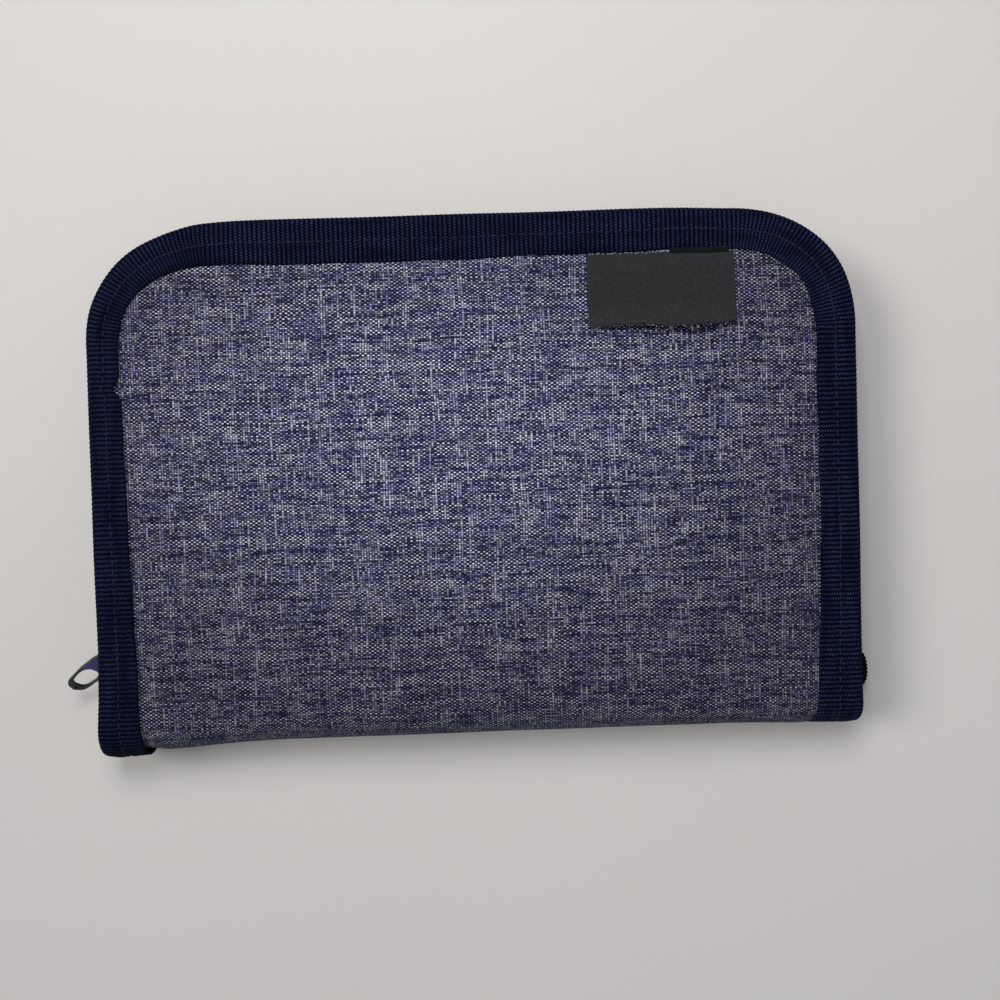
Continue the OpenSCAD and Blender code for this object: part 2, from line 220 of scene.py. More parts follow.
def edge_line(length):
    """Place, inward direction and outward normal along the edge, from the left end of the spine."""
    length = np.asarray(length, float)
    place, inward = np.zeros((len(length), 3)), np.zeros((len(length), 3))
    normal = np.zeros((len(length), 3))
    normal[:, 2] = 1
    for side in (-1, 1):
        s = length if side < 0 else EDGE_S - length
        on_side = s <= SIDE_S
        y, z, ny, nz = fold_line(np.clip(s, 0, SIDE_S))
        place[on_side] = stack(side * HALF_W, y, z)[on_side]
        inward[on_side] = (-side, 0, 0)
        normal[on_side] = stack(0, ny, nz)[on_side]
        angle = (s - SIDE_S) / CORNER_R
        on_arc = (s > SIDE_S) & (angle <= PI / 2)
        out = stack(side * np.cos(angle), np.sin(angle), 0)
        centre = np.array([side * (HALF_W - CORNER_R), TOP_Y - CORNER_R, THICK])
        place[on_arc] = (centre + CORNER_R * out)[on_arc]
        inward[on_arc] = -out[on_arc]
    on_top = (length > SIDE_S + ARC_S) & (length < SIDE_S + ARC_S + TOP_S)
    x = length - SIDE_S - ARC_S - TOP_S / 2
    place[on_top] = stack(x, TOP_Y, THICK)[on_top]
    inward[on_top] = (0, -1, 0)
    return place, inward, normal


def drawn_in(x, s):
    """How far the spine is pulled in between its two thick ends."""
    return (1.3 * smoothstep(x, -112, -60) - 0.5 * smoothstep(x, 95, 118)) * (1 - smoothstep(s, 6, 26))


def flip(points):
    """The same points on the other cover."""
    return points * (1, 1, -1) + (0, 0, THICK)


def on_other_cover(outer, inner, uv):
    """A shell's grids on the other cover, with their columns turned round to keep its faces outwards."""
    return turned_round(flip(outer), flip(inner), uv)


def inset_half_width(y, inset):
    """Half the width of a cover at y, inside its bound edge by inset."""
    r = CORNER_R - inset
    rise = np.clip(y - (TOP_Y - CORNER_R), 0, r)
    return HALF_W - CORNER_R + np.sqrt(np.maximum(r * r - rise * rise, 0))


def edge_distance(x, y):
    """Distance inwards from the bound edge."""
    dx = np.abs(x) - (HALF_W - CORNER_R)
    dy = y - (TOP_Y - CORNER_R)
    corner = CORNER_R - np.hypot(np.maximum(dx, 0), np.maximum(dy, 0))
    return np.where((dx > 0) & (dy > 0), corner, np.minimum(HALF_W - np.abs(x), TOP_Y - y))


# ------------------------------------------------------------------ materials

WARP_PITCH, WEFT_PITCH = 0.838, 0.566  # of the heathered cloth
RIB = 1.47  # pitch of the binding's ribs
CLOTH_GLOSS = 0.12


class Value:
    """A number made by a shader node. Arithmetic with it adds Math nodes."""

    def __init__(self, shader, socket):
        self.shader = shader
        self.socket = socket

    def __add__(self, other):
        return self.shader.math("ADD", self, other)

    def __sub__(self, other):
        return self.shader.math("SUBTRACT", self, other)

    def __rsub__(self, other):
        return self.shader.math("SUBTRACT", other, self)

    def __mul__(self, other):
        return self.shader.math("MULTIPLY", self, other)

    def __truediv__(self, other):
        return self.shader.math("DIVIDE", self, other)

    def __pow__(self, other):
        return self.shader.math("POWER", self, other)

    def __mod__(self, other):
        return self.shader.math("FLOORED_MODULO", self, other)

    def __abs__(self):
        return self.shader.math("ABSOLUTE", self)

    __radd__ = __add__
    __rmul__ = __mul__


def sine(value):
    return value.shader.math("SINE", value)


def floor(value):
    return value.shader.math("FLOOR", value)


def fract(value):
    return value.shader.math("FRACT", value)


class Shader:
    """Builds a node material. Numbers, colours and node values can all be passed as inputs."""

    def __init__(self, name):
        self.material = bpy.data.materials.new(name)
        self.material.use_nodes = True
        self.tree = self.material.node_tree
        self.bsdf = self.tree.nodes["Principled BSDF"]

    def add(self, kind, **settings):
        node = self.tree.nodes.new(kind)
        for key, value in settings.items():
            setattr(node, key, value)
        return node

    def plug(self, socket, value):
        if isinstance(value, Value):
            self.tree.links.new(value.socket, socket)
        elif isinstance(value, tuple):
            socket.default_value = (*value, 1)
        else:
            socket.default_value = value

    def out(self, node, which):
        return Value(self, node.outputs[which])

    def math(self, operation, *values):
        node = self.add("ShaderNodeMath", operation=operation)
        for socket, value in zip(node.inputs, values):
            self.plug(socket, value)
        return self.out(node, 0)

    def vector(self, x, y, z=0.0):
        place = self.add("ShaderNodeCombineXYZ")
        for socket, value in zip(place.inputs, (x, y, z)):
            self.plug(socket, value)
        return self.out(place, 0)

    def ramp(self, value, low, high):
        """A smooth step from 0 to 1 between low and high."""
        node = self.add("ShaderNodeMapRange", interpolation_type="SMOOTHSTEP")
        for socket, given in zip(("Value", "From Min", "From Max"), (value, low, high)):
            self.plug(node.inputs[socket], given)
        return self.out(node, "Result")

    def mix(self, factor, a, b, blend="MIX"):
        node = self.add("ShaderNodeMix", data_type="RGBA", blend_type=blend)
        for socket, value in zip((0, 6, 7), (factor, a, b)):
            self.plug(node.inputs[socket], value)
        return self.out(node, 2)

    def shade(self, colour, factor):
        grey = self.add("ShaderNodeCombineColor")
        for socket in grey.inputs[:3]:
            self.plug(socket, factor)
        return self.mix(1.0, colour, self.out(grey, 0), blend="MULTIPLY")

    def noise(self, x, y, detail=0.0, z=0.0):
        """Smooth noise about 0.5 at a place given in units of its own grain."""
        node = self.add("ShaderNodeTexNoise", noise_dimensions="3D")
        self.plug(node.inputs["Vector"], self.vector(x, y, z))
        node.inputs["Scale"].default_value = 1.0
        node.inputs["Detail"].default_value = detail
        return self.out(node, "Fac")

    def random(self, x, y=0.0):
        node = self.add("ShaderNodeTexWhiteNoise", noise_dimensions="2D")
        self.plug(node.inputs["Vector"], self.vector(x, y))
        return self.out(node, "Value")

    def parts_of(self, vector):
        split = self.add("ShaderNodeSeparateXYZ")
        self.tree.links.new(vector, split.inputs[0])
        return [Value(self, socket) for socket in split.outputs]

    def cloth_place(self):
        """The two cloth coordinates, in millimetres."""
        return self.parts_of(self.add("ShaderNodeUVMap", uv_map="cloth").outputs[0])[:2]

    def object_place(self):
        """The object's own coordinates, in millimetres."""
        place = self.add("ShaderNodeTexCoord").outputs["Object"]
        return [axis * (1 / MM) for axis in self.parts_of(place)]

    def grain(self, along, across, detail):
        """Noise in the object's own space; along and across are in grains to the millimetre."""
        x, y, z = self.object_place()
        return self.noise(x * along, y * across, detail, z * across)

    def finish(self, colour, roughness, height, depth, strength, **shine):
        """Ends the material; shine gives sheen and, for cloth, its gloss."""
        self.plug(self.bsdf.inputs["Base Color"], colour)
        self.plug(self.bsdf.inputs["Roughness"], roughness)
        bump = self.add("ShaderNodeBump")
        bump.inputs["Strength"].default_value = strength
        bump.inputs["Distance"].default_value = depth * MM
        self.plug(bump.inputs["Height"], height)
        self.tree.links.new(bump.outputs[0], self.bsdf.inputs["Normal"])
        if "gloss" in shine:
            self.bsdf.inputs["Specular IOR Level"].default_value = shine["gloss"]
        if "sheen" in shine:
            self.bsdf.inputs["Sheen Weight"].default_value = shine["sheen"]
            self.bsdf.inputs["Sheen Roughness"].default_value = 0.5
        return self.material


def weave(u, v, warp_pitch, weft_pitch):
    """Plain weave: thread numbers, which thread is on top, and the height of the surface."""
    cu, cv = u / warp_pitch, v / weft_pitch
    warp, weft = floor(cu), floor(cv)
    warp_on_top = (warp + weft) % 2.0
    weft_on_top = 1.0 - warp_on_top
    hu, hv = sine(fract(cu) * PI), sine(fract(cv) * PI)
    across = hu * warp_on_top + hv * weft_on_top
    along = hv * warp_on_top + hu * weft_on_top
    return warp, weft, warp_on_top, across**0.8 * (0.3 + along**0.7 * 0.7)


def heather_cloth(name):
    """Melange polyester: pale slubby threads over navy ones, in long violet and grey patches."""
    sh = Shader(name)
    u, v = sh.cloth_place()
    drift = (sh.noise(u * 0.03, v * 0.03, 1.0) - 0.5) * 2.2
    warp, weft, on_top, height = weave(u + drift, v + drift, WARP_PITCH, WEFT_PITCH)
    fleck = sh.random(warp, weft)
    warp_fleck = sh.random(warp, weft + 0.4)
    slub = sh.noise(u * 0.12, weft * 5.7, 1.0, 3.1)
    warp_slub = sh.noise(warp * 5.7, v * 0.12, 1.0, 7.7)
    patch = sh.noise(u * 0.11, v * 0.33, 2.0, 11.0)
    weft_tone = slub * 1.02 + (sh.random(weft, 3.0) * 0.19 + fleck * 0.30)
    warp_tone = warp_slub * 0.82 + (sh.random(warp, 9.0) * 0.14 + warp_fleck * 0.28)
    weft_pale = sh.ramp(weft_tone + (patch - 0.5) * 0.16, 0.42, 1.12)
    warp_pale = sh.ramp(warp_tone, 0.56, 1.06)
    violet = sh.ramp(patch, 0.58, 0.36)
    pale_weft = sh.mix(violet, (0.80, 0.83, 1.0), (0.55, 0.55, 0.95))
    pale_warp = sh.mix(violet, (0.66, 0.68, 0.82), (0.44, 0.44, 0.74))
    weft_colour = sh.mix(weft_pale, (0.032, 0.034, 0.142), pale_weft)
    warp_colour = sh.mix(warp_pale, (0.008, 0.009, 0.05), pale_warp)
    # lift darkens the low places between the threads: painted shade in the gaps of the weave
    lift = (0.01 + height * 0.99) ** 1.7
    # painted light: paler in the middle, where the cover swells out, and painted shade towards its edges and
    # its right side
    from_middle = abs((u + 10.0) * (1 / 110)) ** 2.0 + abs((abs(v) - 108.0) * (1 / 70)) ** 2.0
    painted_falloff = 1.54 - sh.ramp(sh.math("SQRT", from_middle), 0.15, 1.4) * 0.86
    colour = sh.shade(sh.mix(on_top, weft_colour, warp_colour), lift * painted_falloff)
    return sh.finish(colour, 0.78 + fleck * 0.14, height, 0.16, 0.75, sheen=0.03, gloss=CLOTH_GLOSS)


def grosgrain(name, dark, light, pitch):
    """Ribbed tape: ribs across it, each made of a row of small bumps."""
    sh = Shader(name)
    u, v = sh.cloth_place()
    across = (u + sh.noise(u * 0.15, v * 0.5, 1.0) * 0.5) / pitch
    rib = abs(sine(across * PI))
    dot = abs(sine((v / 0.92 + floor(across) % 2.0 * 0.5) * PI))
    height = (0.35 + rib * 0.65) * (0.55 + dot * 0.45)
    tone = sh.noise(u * 0.05, v * 0.28, 2.0, 2.0)
    # glint: painted highlight on the tops of the ribs, varied by a random tone
    glint = sh.ramp(height, 0.5, 0.95) * (0.25 + sh.ramp(tone, 0.25, 0.75) * 0.6)
    fibre = sh.random(floor(u * 3.0), floor(v * 3.0))
    colour = sh.mix(glint * (0.45 + fibre * 0.55), dark, light)
    # the darkening by height is painted shade in the grooves between the ribs
    return sh.finish(sh.shade(colour, 0.25 + height * 0.75), 0.82, height, 0.2, 0.8, gloss=0.03)


def plain_cloth(name, dark, light, pitch):
    """Fine plain weave of one colour with uneven threads."""
    sh = Shader(name)
    u, v = sh.cloth_place()
    warp, weft, _, height = weave(u, v, pitch, pitch * 0.9)
    uneven = sh.random(warp, 1.0) * 0.5 + sh.random(weft, 2.0) * 0.5
    cloud = sh.noise(u * 0.04, v * 0.04, 3.0)
    # paler thread tops and darker gaps by height: painted highlight and painted shade; the uneven threads
    # and the cloud are random tone
    amount = height * (0.25 + (uneven * 0.4 + cloud * 0.5))
    return sh.finish(sh.mix(amount, dark, light), 0.85, height, 0.1, 0.6, sheen=0.03, gloss=CLOTH_GLOSS)


def twill(name, dark, light, pitch):
    """Fine diagonal twill."""
    sh = Shader(name)
    u, v = sh.cloth_place()
    line = abs(sine((u + v) / pitch * PI))
    yarn = abs(sine(u / (pitch * 0.5) * PI))
    fuzz = sh.noise(u * 1.6, v * 1.6, 3.0)
    height = line * 0.7 + yarn * 0.3
    speck = sh.random(floor(u * 4.0), floor(v * 4.0))
    # paler ridges and darker grooves by height: painted highlight and painted shade; fuzz and specks are
    # random tone
    amount = height**1.5 * (0.3 + (fuzz * 0.5 + speck * 0.7))
    return sh.finish(sh.mix(amount, dark, light), 0.9, height, 0.12, 0.7, sheen=0.02, gloss=CLOTH_GLOSS)


def paint(name, base, edge):
    """Satin paint with fine orange peel and wear."""
    sh = Shader(name)
    peel = sh.grain(2.5, 2.5, 2.0)
    worn = sh.ramp(sh.grain(0.8, 0.8, 4.0), 0.56, 0.75)
    return sh.finish(sh.mix(worn * 0.5, base, edge), 0.38 + peel * 0.18, peel, 0.03, 0.4)


def pull_paint(name, face, side):
    """Enamel on a pull: violet on the flat faces of its inner half, painted light on the lit face; dark on
    its rims and its tip, painted shade.
    """
    sh = Shader(name)
    x, _, z = sh.object_place()
    peel = sh.grain(2.5, 2.5, 2.0)
    lit_face = sh.ramp(abs(z) + peel * 0.06, 0.50, 0.57)
    lit_part = lit_face * sh.ramp(x + peel * 2.0, 16.0, 13.5)
    return sh.finish(sh.mix(lit_part, side, face), 0.34 + peel * 0.2, peel, 0.03, 0.4)


def metal(name, colour):
    sh = Shader(name)
    scratch = sh.grain(9.0, 1.5, 3.0)
    sh.bsdf.inputs["Metallic"].default_value = 1.0
    return sh.finish(colour, 0.28 + scratch * 0.25, scratch, 0.02, 0.5)


def nylon(name, dark, light):
    sh = Shader(name)
    tone = sh.grain(0.6, 0.6, 2.0)
    return sh.finish(sh.mix(tone, dark, light), 0.42, tone, 0.03, 0.3)


def thread(name, dark, light):
    sh = Shader(name)
    twist = sh.grain(4.0, 4.0, 2.0)
    return sh.finish(sh.mix(twist, dark, light), 0.7, twist, 0.05, 0.6, gloss=CLOTH_GLOSS)


def table_top(name):
    sh = Shader(name)
    x, y, _ = sh.object_place()
    speck = sh.noise(x * 0.35, y * 0.35, 4.0)
    tone = speck * 0.3 + sh.noise(x * 0.006, y * 0.006, 1.0) * 0.7
    return sh.finish(sh.mix(tone, (0.66, 0.645, 0.63), (0.70, 0.685, 0.67)), 0.62, speck, 0.02, 0.2)


CLOTH = heather_cloth("heather_cloth")
TAPE = grosgrain("binding_tape", (0.0012, 0.0022, 0.011), (0.034, 0.045, 0.125), pitch=RIB)
LINING = plain_cloth("lining_cloth", (0.006, 0.007, 0.016), (0.035, 0.04, 0.085), pitch=0.4)
POCKET = plain_cloth("pocket_cloth", (0.03, 0.032, 0.05), (0.14, 0.145, 0.2), pitch=0.5)
ZIP_TAPE = twill("zip_tape", (0.004, 0.005, 0.014), (0.025, 0.03, 0.075), pitch=0.9)
WEBBING = grosgrain("black_webbing", (0.003, 0.003, 0.006), (0.02, 0.022, 0.04), pitch=1.2)
LABEL = twill("label_cloth", (0.002, 0.0022, 0.0026), (0.05, 0.053, 0.058), pitch=0.6)
# the label's tab gets a darker twill than the patch
DARK_TAB_TWILL = twill("dark_tab_twill", (0.002, 0.0025, 0.003), (0.009, 0.0105, 0.013), pitch=0.6)
COIL = nylon("zip_coil", (0.006, 0.008, 0.022), (0.02, 0.025, 0.06))
THREAD = thread("navy_thread", (0.003, 0.005, 0.018), (0.020, 0.028, 0.078))
FRAY = thread("pale_fray", (0.16, 0.18, 0.17), (0.55, 0.6, 0.57))
STEEL = metal("zip_metal", (0.15, 0.15, 0.165))
POCKET_METAL = metal("pocket_slider_metal", (0.09, 0.09, 0.1))
SLIDER_PAINT = paint("slider_paint", (0.012, 0.014, 0.03), (0.1, 0.1, 0.12))
# violet: painted light on the pull's lit faces; near black: painted shade on its rims and its tip
PULL_PAINT = pull_paint("pull_paint", (0.085, 0.075, 0.27), (0.012, 0.013, 0.022))


def place_piece(obj, body, slot, *nodes):
    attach(obj, body)
    name_piece(obj, slot, *nodes)


def name_piece(obj, slot, *nodes):
    if nodes:
        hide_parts(*nodes)


def sheet(obj, wide, long, held, **more):
    """Turns a sheet's flat size from millimetres into metres, and keeps neither."""
    wide * MM
    long * MM


# ------------------------------------------------------------------ covers

BLEND_LOW = np.array([0, FOLD_Y, MID_Z + FOLD_FLAT])  # where the spine starts to bend
BLEND_HIGH = np.array([0, FOLD_Y + FOLD_R, THICK])  # where the flat cover starts
BODIES = {"front": ("front", "spine"), "back": ("back",)}  # whose cloth a cover's pieces are


def join_to_spine(obj, cover):
    """Bakes a piece's transform into its mesh, on either cover."""
    if cover == "front":
        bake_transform(obj)
    else:
        flip(BLEND_HIGH) * MM
        flip(BLEND_LOW) * MM
        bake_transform(obj)


def cover_rows():
    """Rows from mid-spine to the top edge, closer together where the outline turns."""
    fold = np.linspace(0, FOLD_S, 14)[:-1]
    low = np.arange(FOLD_S, SIDE_S, 1.8)
    turn = np.linspace(0, PI / 2, 30)
    high = SIDE_S + (CORNER_R - 1.6) * np.sin(turn)
    return np.concatenate([fold, low, high])


def cover_grid(inset, columns):
    """Places, outward normals and cloth coordinates of a cover's grid."""
    s = cover_rows()[:, None]
    y, z, ny, nz = fold_line(s)
    x = inset_half_width(y, inset) * np.linspace(-1, 1, columns)
    return stack(x, y + drawn_in(x, s), z), stack(0 * x, ny, nz), stack(x, s)


def panel_swell(x, y, s, seed):
    """How far the padded cloth stands out of the flat: low under the binding, crowned in the middle."""
    e = edge_distance(x, y)
    sewn = -0.85 + 1.2 * smoothstep(e, BIND_W - 1.5, BIND_W + 7)
    crown = 1.5 * smoothstep(e, BIND_W - 2, 70) * smoothstep(s, 3, 30)
    waist = -0.9 * smoothstep(e, BIND_W - 4, 45) * (1 - smoothstep(s, 4, 24))
    loose = smoothstep(e, BIND_W, BIND_W + 10) * smoothstep(s, 0, 9)
    ripple = loose * (0.16 * waves(x, s, 46, seed) + 0.05 * waves(x, s, 15, seed + 1))
    pucker = 0.06 * near(e, BIND_W + 2.5, 2.6) * waves(x, s, 7, seed + 2)
    return sewn + crown + waist + ripple + pucker


def inner_depth(e, s):
    """Depth of the inner face: less in the bend, so that the case can open, and under the binding."""
    along = 2.2 + 0.8 * smoothstep(s, FOLD_S - 5, FOLD_S + 3) + 0.7 * smoothstep(-s, -6, -2)
    gripped = 1 - smoothstep(e, BIND_W - 2.5, BIND_W + 3)
    return along - 0.75 * gripped * smoothstep(along, 2.1, 2.9)


def cover_cloth(name, cover, grid, above, below, material, faces_in=False):
    """A cover's cloth between two heights over its grid, such as its outer cloth or its lining."""
    base, normal, uv = grid
    grids = base + normal * above[..., None], base + normal * below[..., None], uv
    back = cover == "back"
    if back:
        grids = flip(grids[0]), flip(grids[1]), uv
    if back != faces_in:
        grids = turned_round(*grids)
    return shell(name, *grids, material)


def build_cover(cover, seed):
    base, normal, uv = cover_grid(1.8, 116)
    x, y, s = base[..., 0], base[..., 1], uv[..., 1]
    swell = panel_swell(x, y, s, seed)
    if cover == "back":
        # the table presses its padding flat
        upright = normal[..., 2]
        swell = np.minimum(swell, -0.16 + 0.05 * waves(x, s, 40, seed) + 5 * (1 - upright))
        uv = uv * (1, -1)
    depth = inner_depth(edge_distance(x, y), s)
    obj = cover_cloth(cover + "_cover", cover, (base, normal, uv), swell, -depth, CLOTH)
    nodes = [body + part for body in BODIES[cover] for part in ("_shell", "_foam_board")]
    name_piece(obj, CLOTH.name, *nodes)
    join_to_spine(obj, cover)


def build_lining(cover, seed):
    grid = cover_grid(2.4, 90)
    x, y, s = grid[0][..., 0], grid[0][..., 1], grid[2][..., 1]
    e = edge_distance(x, y)
    deep = inner_depth(e, s)
    ripple = 0.1 * smoothstep(e, BIND_W, BIND_W + 8) * waves(x, s, 30, seed)
    name = cover + "_lining_cloth"
    obj = cover_cloth(name, cover, grid, -(deep + 0.4 + ripple), -(deep + 0.04), LINING, faces_in=True)
    name_piece(obj, LINING.name, *[body + "_lining" for body in BODIES[cover]])
    size = (2 * HALF_W, FOLD_S + TOP_Y - FOLD_Y - FOLD_R)
    sheet(obj, *size, "stretched", area=size[0] * size[1] * MM * MM * 0.955)
    join_to_spine(obj, cover)


# ------------------------------------------------------------------ ribbed binding

STITCH_AT = 0.47  # share of the tape's width, from its outer edge, where it is sewn
INNER_W = BIND_W - 0.5  # width of the binding on the inner side


def tape_width(length, cover):
    """Visible width of the binding; it was guided by hand and wanders."""
    top = SIDE_S + ARC_S
    at = [0, 12, 24, 50, 95, SIDE_S, SIDE_S + 30, top + 20, top + TOP_S / 2, top + TOP_S * 0.62]
    wide = [15.0, 14.0, 12.8, 11.9, 10.9, 10.1, 11.2, 14.2, 14.2, 13.3]
    at += [top + TOP_S * 0.75, top + TOP_S * 0.84, top + TOP_S * 0.94, top + TOP_S + 12]
    wide += [13.8, 13.2, 12.4, 12.9]
    at += [EDGE_S - SIDE_S - 12, EDGE_S - SIDE_S, EDGE_S - 70, EDGE_S - 45, EDGE_S - 18, EDGE_S]
    wide += [13.4, 12.7, 12.6, 13.2, 14.6, 16.0]
    width = np.interp(length, at, wide) + 0.12 * np.sin(length / 4.3)
    if cover == "back":
        plain = BIND_W + 0.4 * np.sin(length / 31) + 0.25 * np.sin(length / 13)
        ends = smoothstep(np.minimum(length, EDGE_S - length), 12, 50)
        return width + (plain - width) * ends
    return width - 2.1 * near(length, SIDE_S - 12.5, 2.3)


def end_puff(length):
    """How far the thick ends of the binding stand off the spine."""
    return 1.9 * near(length, 0, 8) - 0.4 * near(EDGE_S - length, 0, 9)


def pressed_in(length, cover):
    """How far the table pushes the back cover's binding into its padding."""
    from_spine = np.minimum(length, EDGE_S - length)
    return 0.5 * smoothstep(from_spine, 6, 22) * (cover == "back")


def edge_thickness(length, cover):
    return EDGE_T + end_puff(length) - pressed_in(length, cover)


def bound_edge(length, cover, seed):
    """The edge line, with the binding's sway and its bulges at the ends of the spine."""
    place, inward, normal = edge_line(length)
    from_right = EDGE_S - length
    out = np.interp(length, [0, 5, 10, 17, 25, 42, 90, SIDE_S], [3.6, 3.4, 2.8, 2.2, 1.7, 1.1, 0.4, 0.1])
    out = np.where(length > SIDE_S, 0.1, out)
    out = out + 0.35 * near(length, SIDE_S + 12, 8) - 1.45 * near(length, SIDE_S + 47, 14)
    out = out + 0.9 * near(from_right, SIDE_S + 22, 14) - 0.9 * near(from_right, SIDE_S + 56, 16)
    out = out + 0.5 * near(from_right, 9, 8)
    sway = 0.22 * waves(length, 0 * length, 60, seed) * smoothstep(np.minimum(length, from_right), 0, 30)
    place = place - inward * (out + sway)[:, None]
    place = place + normal * (end_puff(length) - pressed_in(length, cover))[:, None]
    place[:, 1] += drawn_in(place[:, 0], np.minimum(length, from_right))
    if cover == "back":
        return flip(place), inward, normal * (1, 1, -1)
    return place, inward, normal


def folded_tape(name, path, wide, low_wide, thick, cloth, material, rib=0.0, points=15, mirror=False):
    """Tape folded over an edge: an outer strip, a rounded fold and an inner strip, all of one cloth."""
    place, inward, normal = path
    t = np.linspace(1, 0, points)
    back_t = t[::-1]
    wide, low_wide, thick = [stack(size + 0 * wide) for size in (wide, low_wide, thick)]
    rim = thick / 2
    sewn = near(t, STITCH_AT, 0.10)
    puff = 0.1 * thick
    angle = np.linspace(PI / 2, -PI / 2, 9)[1:-1]
    h_top = puff * (np.sin(PI * np.clip(t / 0.75, 0, 1)) - sewn - 0.35 * smoothstep(t, 0.8, 1))
    h_low = -thick - 0.8 * puff * (np.sin(PI * back_t) - sewn[::-1])
    e_top, e_low = rim + (wide - rim) * t, rim + (low_wide - rim) * back_t
    e = np.concatenate([e_top, rim - rim * np.cos(angle), e_low], 1)
    h = np.concatenate([h_top, -rim + rim * np.sin(angle), h_low], 1)
    de, dh = np.gradient(e, axis=1), np.gradient(h, axis=1)
    size = np.hypot(de, dh)
    oe, oh = dh / size, -de / size
    run = run_of(place)
    lift = rib * (np.abs(np.sin(PI * run / RIB)) ** 0.8 - 0.5)[:, None]
    ring_e = np.concatenate([e + oe * lift, (e - oe * cloth)[:, ::-1]], 1)
    ring_h = np.concatenate([h + oh * lift, (h - oh * cloth)[:, ::-1]], 1)
    rings = place[:, None] + inward[:, None] * ring_e[..., None] + normal[:, None] * ring_h[..., None]
    across = run_of(stack(e[0], h[0]))
    uv = stack(run[:, None], np.concatenate([across, across[::-1], [0]]))
    if not mirror:
        rings, uv = turned_round(rings, uv)
    return ring_sweep(name, rings, uv, material)


def build_binding(cover, seed):
    length = np.linspace(0, EDGE_S, int(EDGE_S / RIB) * 6)
    path = bound_edge(length, cover, seed)
    wide, thick, back = tape_width(length, cover), edge_thickness(length, cover), cover == "back"
    obj = folded_tape(cover + "_binding", path, wide, INNER_W, thick, 0.5, TAPE, rib=0.17, mirror=back)
    nodes = [] if back else ["spine_binding_left", "spine_binding_right"]
    name_piece(obj, TAPE.name, cover + "_edge_binding", *nodes)
    sheet(obj, 25, EDGE_S, "folded")
    join_to_spine(obj, cover)


def build_binding_stitches(cover, seed):
    """One row of lockstitch through the binding, seen on both of its faces."""
    length = np.arange(3, EDGE_S - 3, 3.0)
    place, inward, normal = bound_edge(length, cover, seed)
    along = unit(bound_edge(length + 0.2, cover, seed)[0] - place)
    wander = np.random.default_rng(seed).normal(0, 0.07, len(length))
    rim = EDGE_T / 2
    top_e = rim + (tape_width(length, cover) - rim) * STITCH_AT + wander
    low_e = rim + (INNER_W - rim) * STITCH_AT + wander
    above = place + inward * top_e[:, None] + normal * 0.16
    below = place + inward * low_e[:, None] - normal * (edge_thickness(length, cover) + 0.13)[:, None]
    ups, alongs = np.concatenate([normal, -normal]), np.concatenate([along, along])
    origins, across = np.concatenate([above, below]), np.cross(ups, alongs)
    obj = scatter(cover + "_binding_stitches", capsule(2.3, 0.24), origins, alongs, across, ups, THREAD)
    name_piece(obj, TAPE.name)
    join_to_spine(obj, cover)


FRONT_SEED = 4
for cover, seed in (("front", FRONT_SEED), ("back", 21)):
    build_cover(cover, seed)
    build_lining(cover, seed + 5)
    build_binding(cover, seed + 9)
    build_binding_stitches(cover, seed + 9)


# ------------------------------------------------------------------ label


def cover_height(x, y):
    """Height of the front cover's padded face."""
    return THICK + panel_swell(x, y, FOLD_S + y - FOLD_Y - FOLD_R, FRONT_SEED)


def label_piece(node, x, y, z, thick, material, size, rests_on):
    """One cloth piece of the label; z is the height of its under side."""
    under = stack(x, y, z)
    obj = shell(node + "_cloth", under + (0, 0, thick), under, under[..., :2], material)
    place_piece(obj, "front", LABEL.name, node)
    sheet(obj, *size, "laid", rests_on=rests_on)


def build_frays(rng, x, edge):
    """Loose thread ends on the torn edge of the label, and cut ends along its top edge."""
    low, high = node_box("label_patch")
    count = 70
    at_x = rng.uniform(low[0] + 1, high[0] - 1, count)
    at_y = np.interp(at_x, x, edge) - rng.uniform(-0.5, 0.35, count)
    turn = rng.normal(-PI / 2, 0.75, count)
    size = rng.uniform(0.5, 1.7, count) * (0.6 + near(at_x, 66, 12))
    top_x = np.arange(low[0] + 1, high[0] - 1, 1.1)
    at_x = np.append(at_x, top_x + rng.normal(0, 0.25, len(top_x)))
    at_y = np.append(at_y, high[1] - 0.9 + rng.normal(0, 0.12, len(top_x)))
    turn = np.append(turn, rng.normal(0.3, 0.3, len(top_x)))
    size = np.append(size, np.full(len(top_x), 0.75))
    height = cover_height(at_x, at_y) + 0.75 + (0.5 + 2.2 * near(at_x, 62, 16)) * (at_y < 60)
    along = stack(np.cos(turn) * size, np.sin(turn) * size, 0)
    side = stack(-np.sin(turn), np.cos(turn), 0)
    up = stack(0 * turn, 0, 1)
    frays = scatter("label_frays", capsule(1.0, 0.11), stack(at_x, at_y, height), along, side, up, FRAY)
    place_piece(frays, "front", LABEL.name)


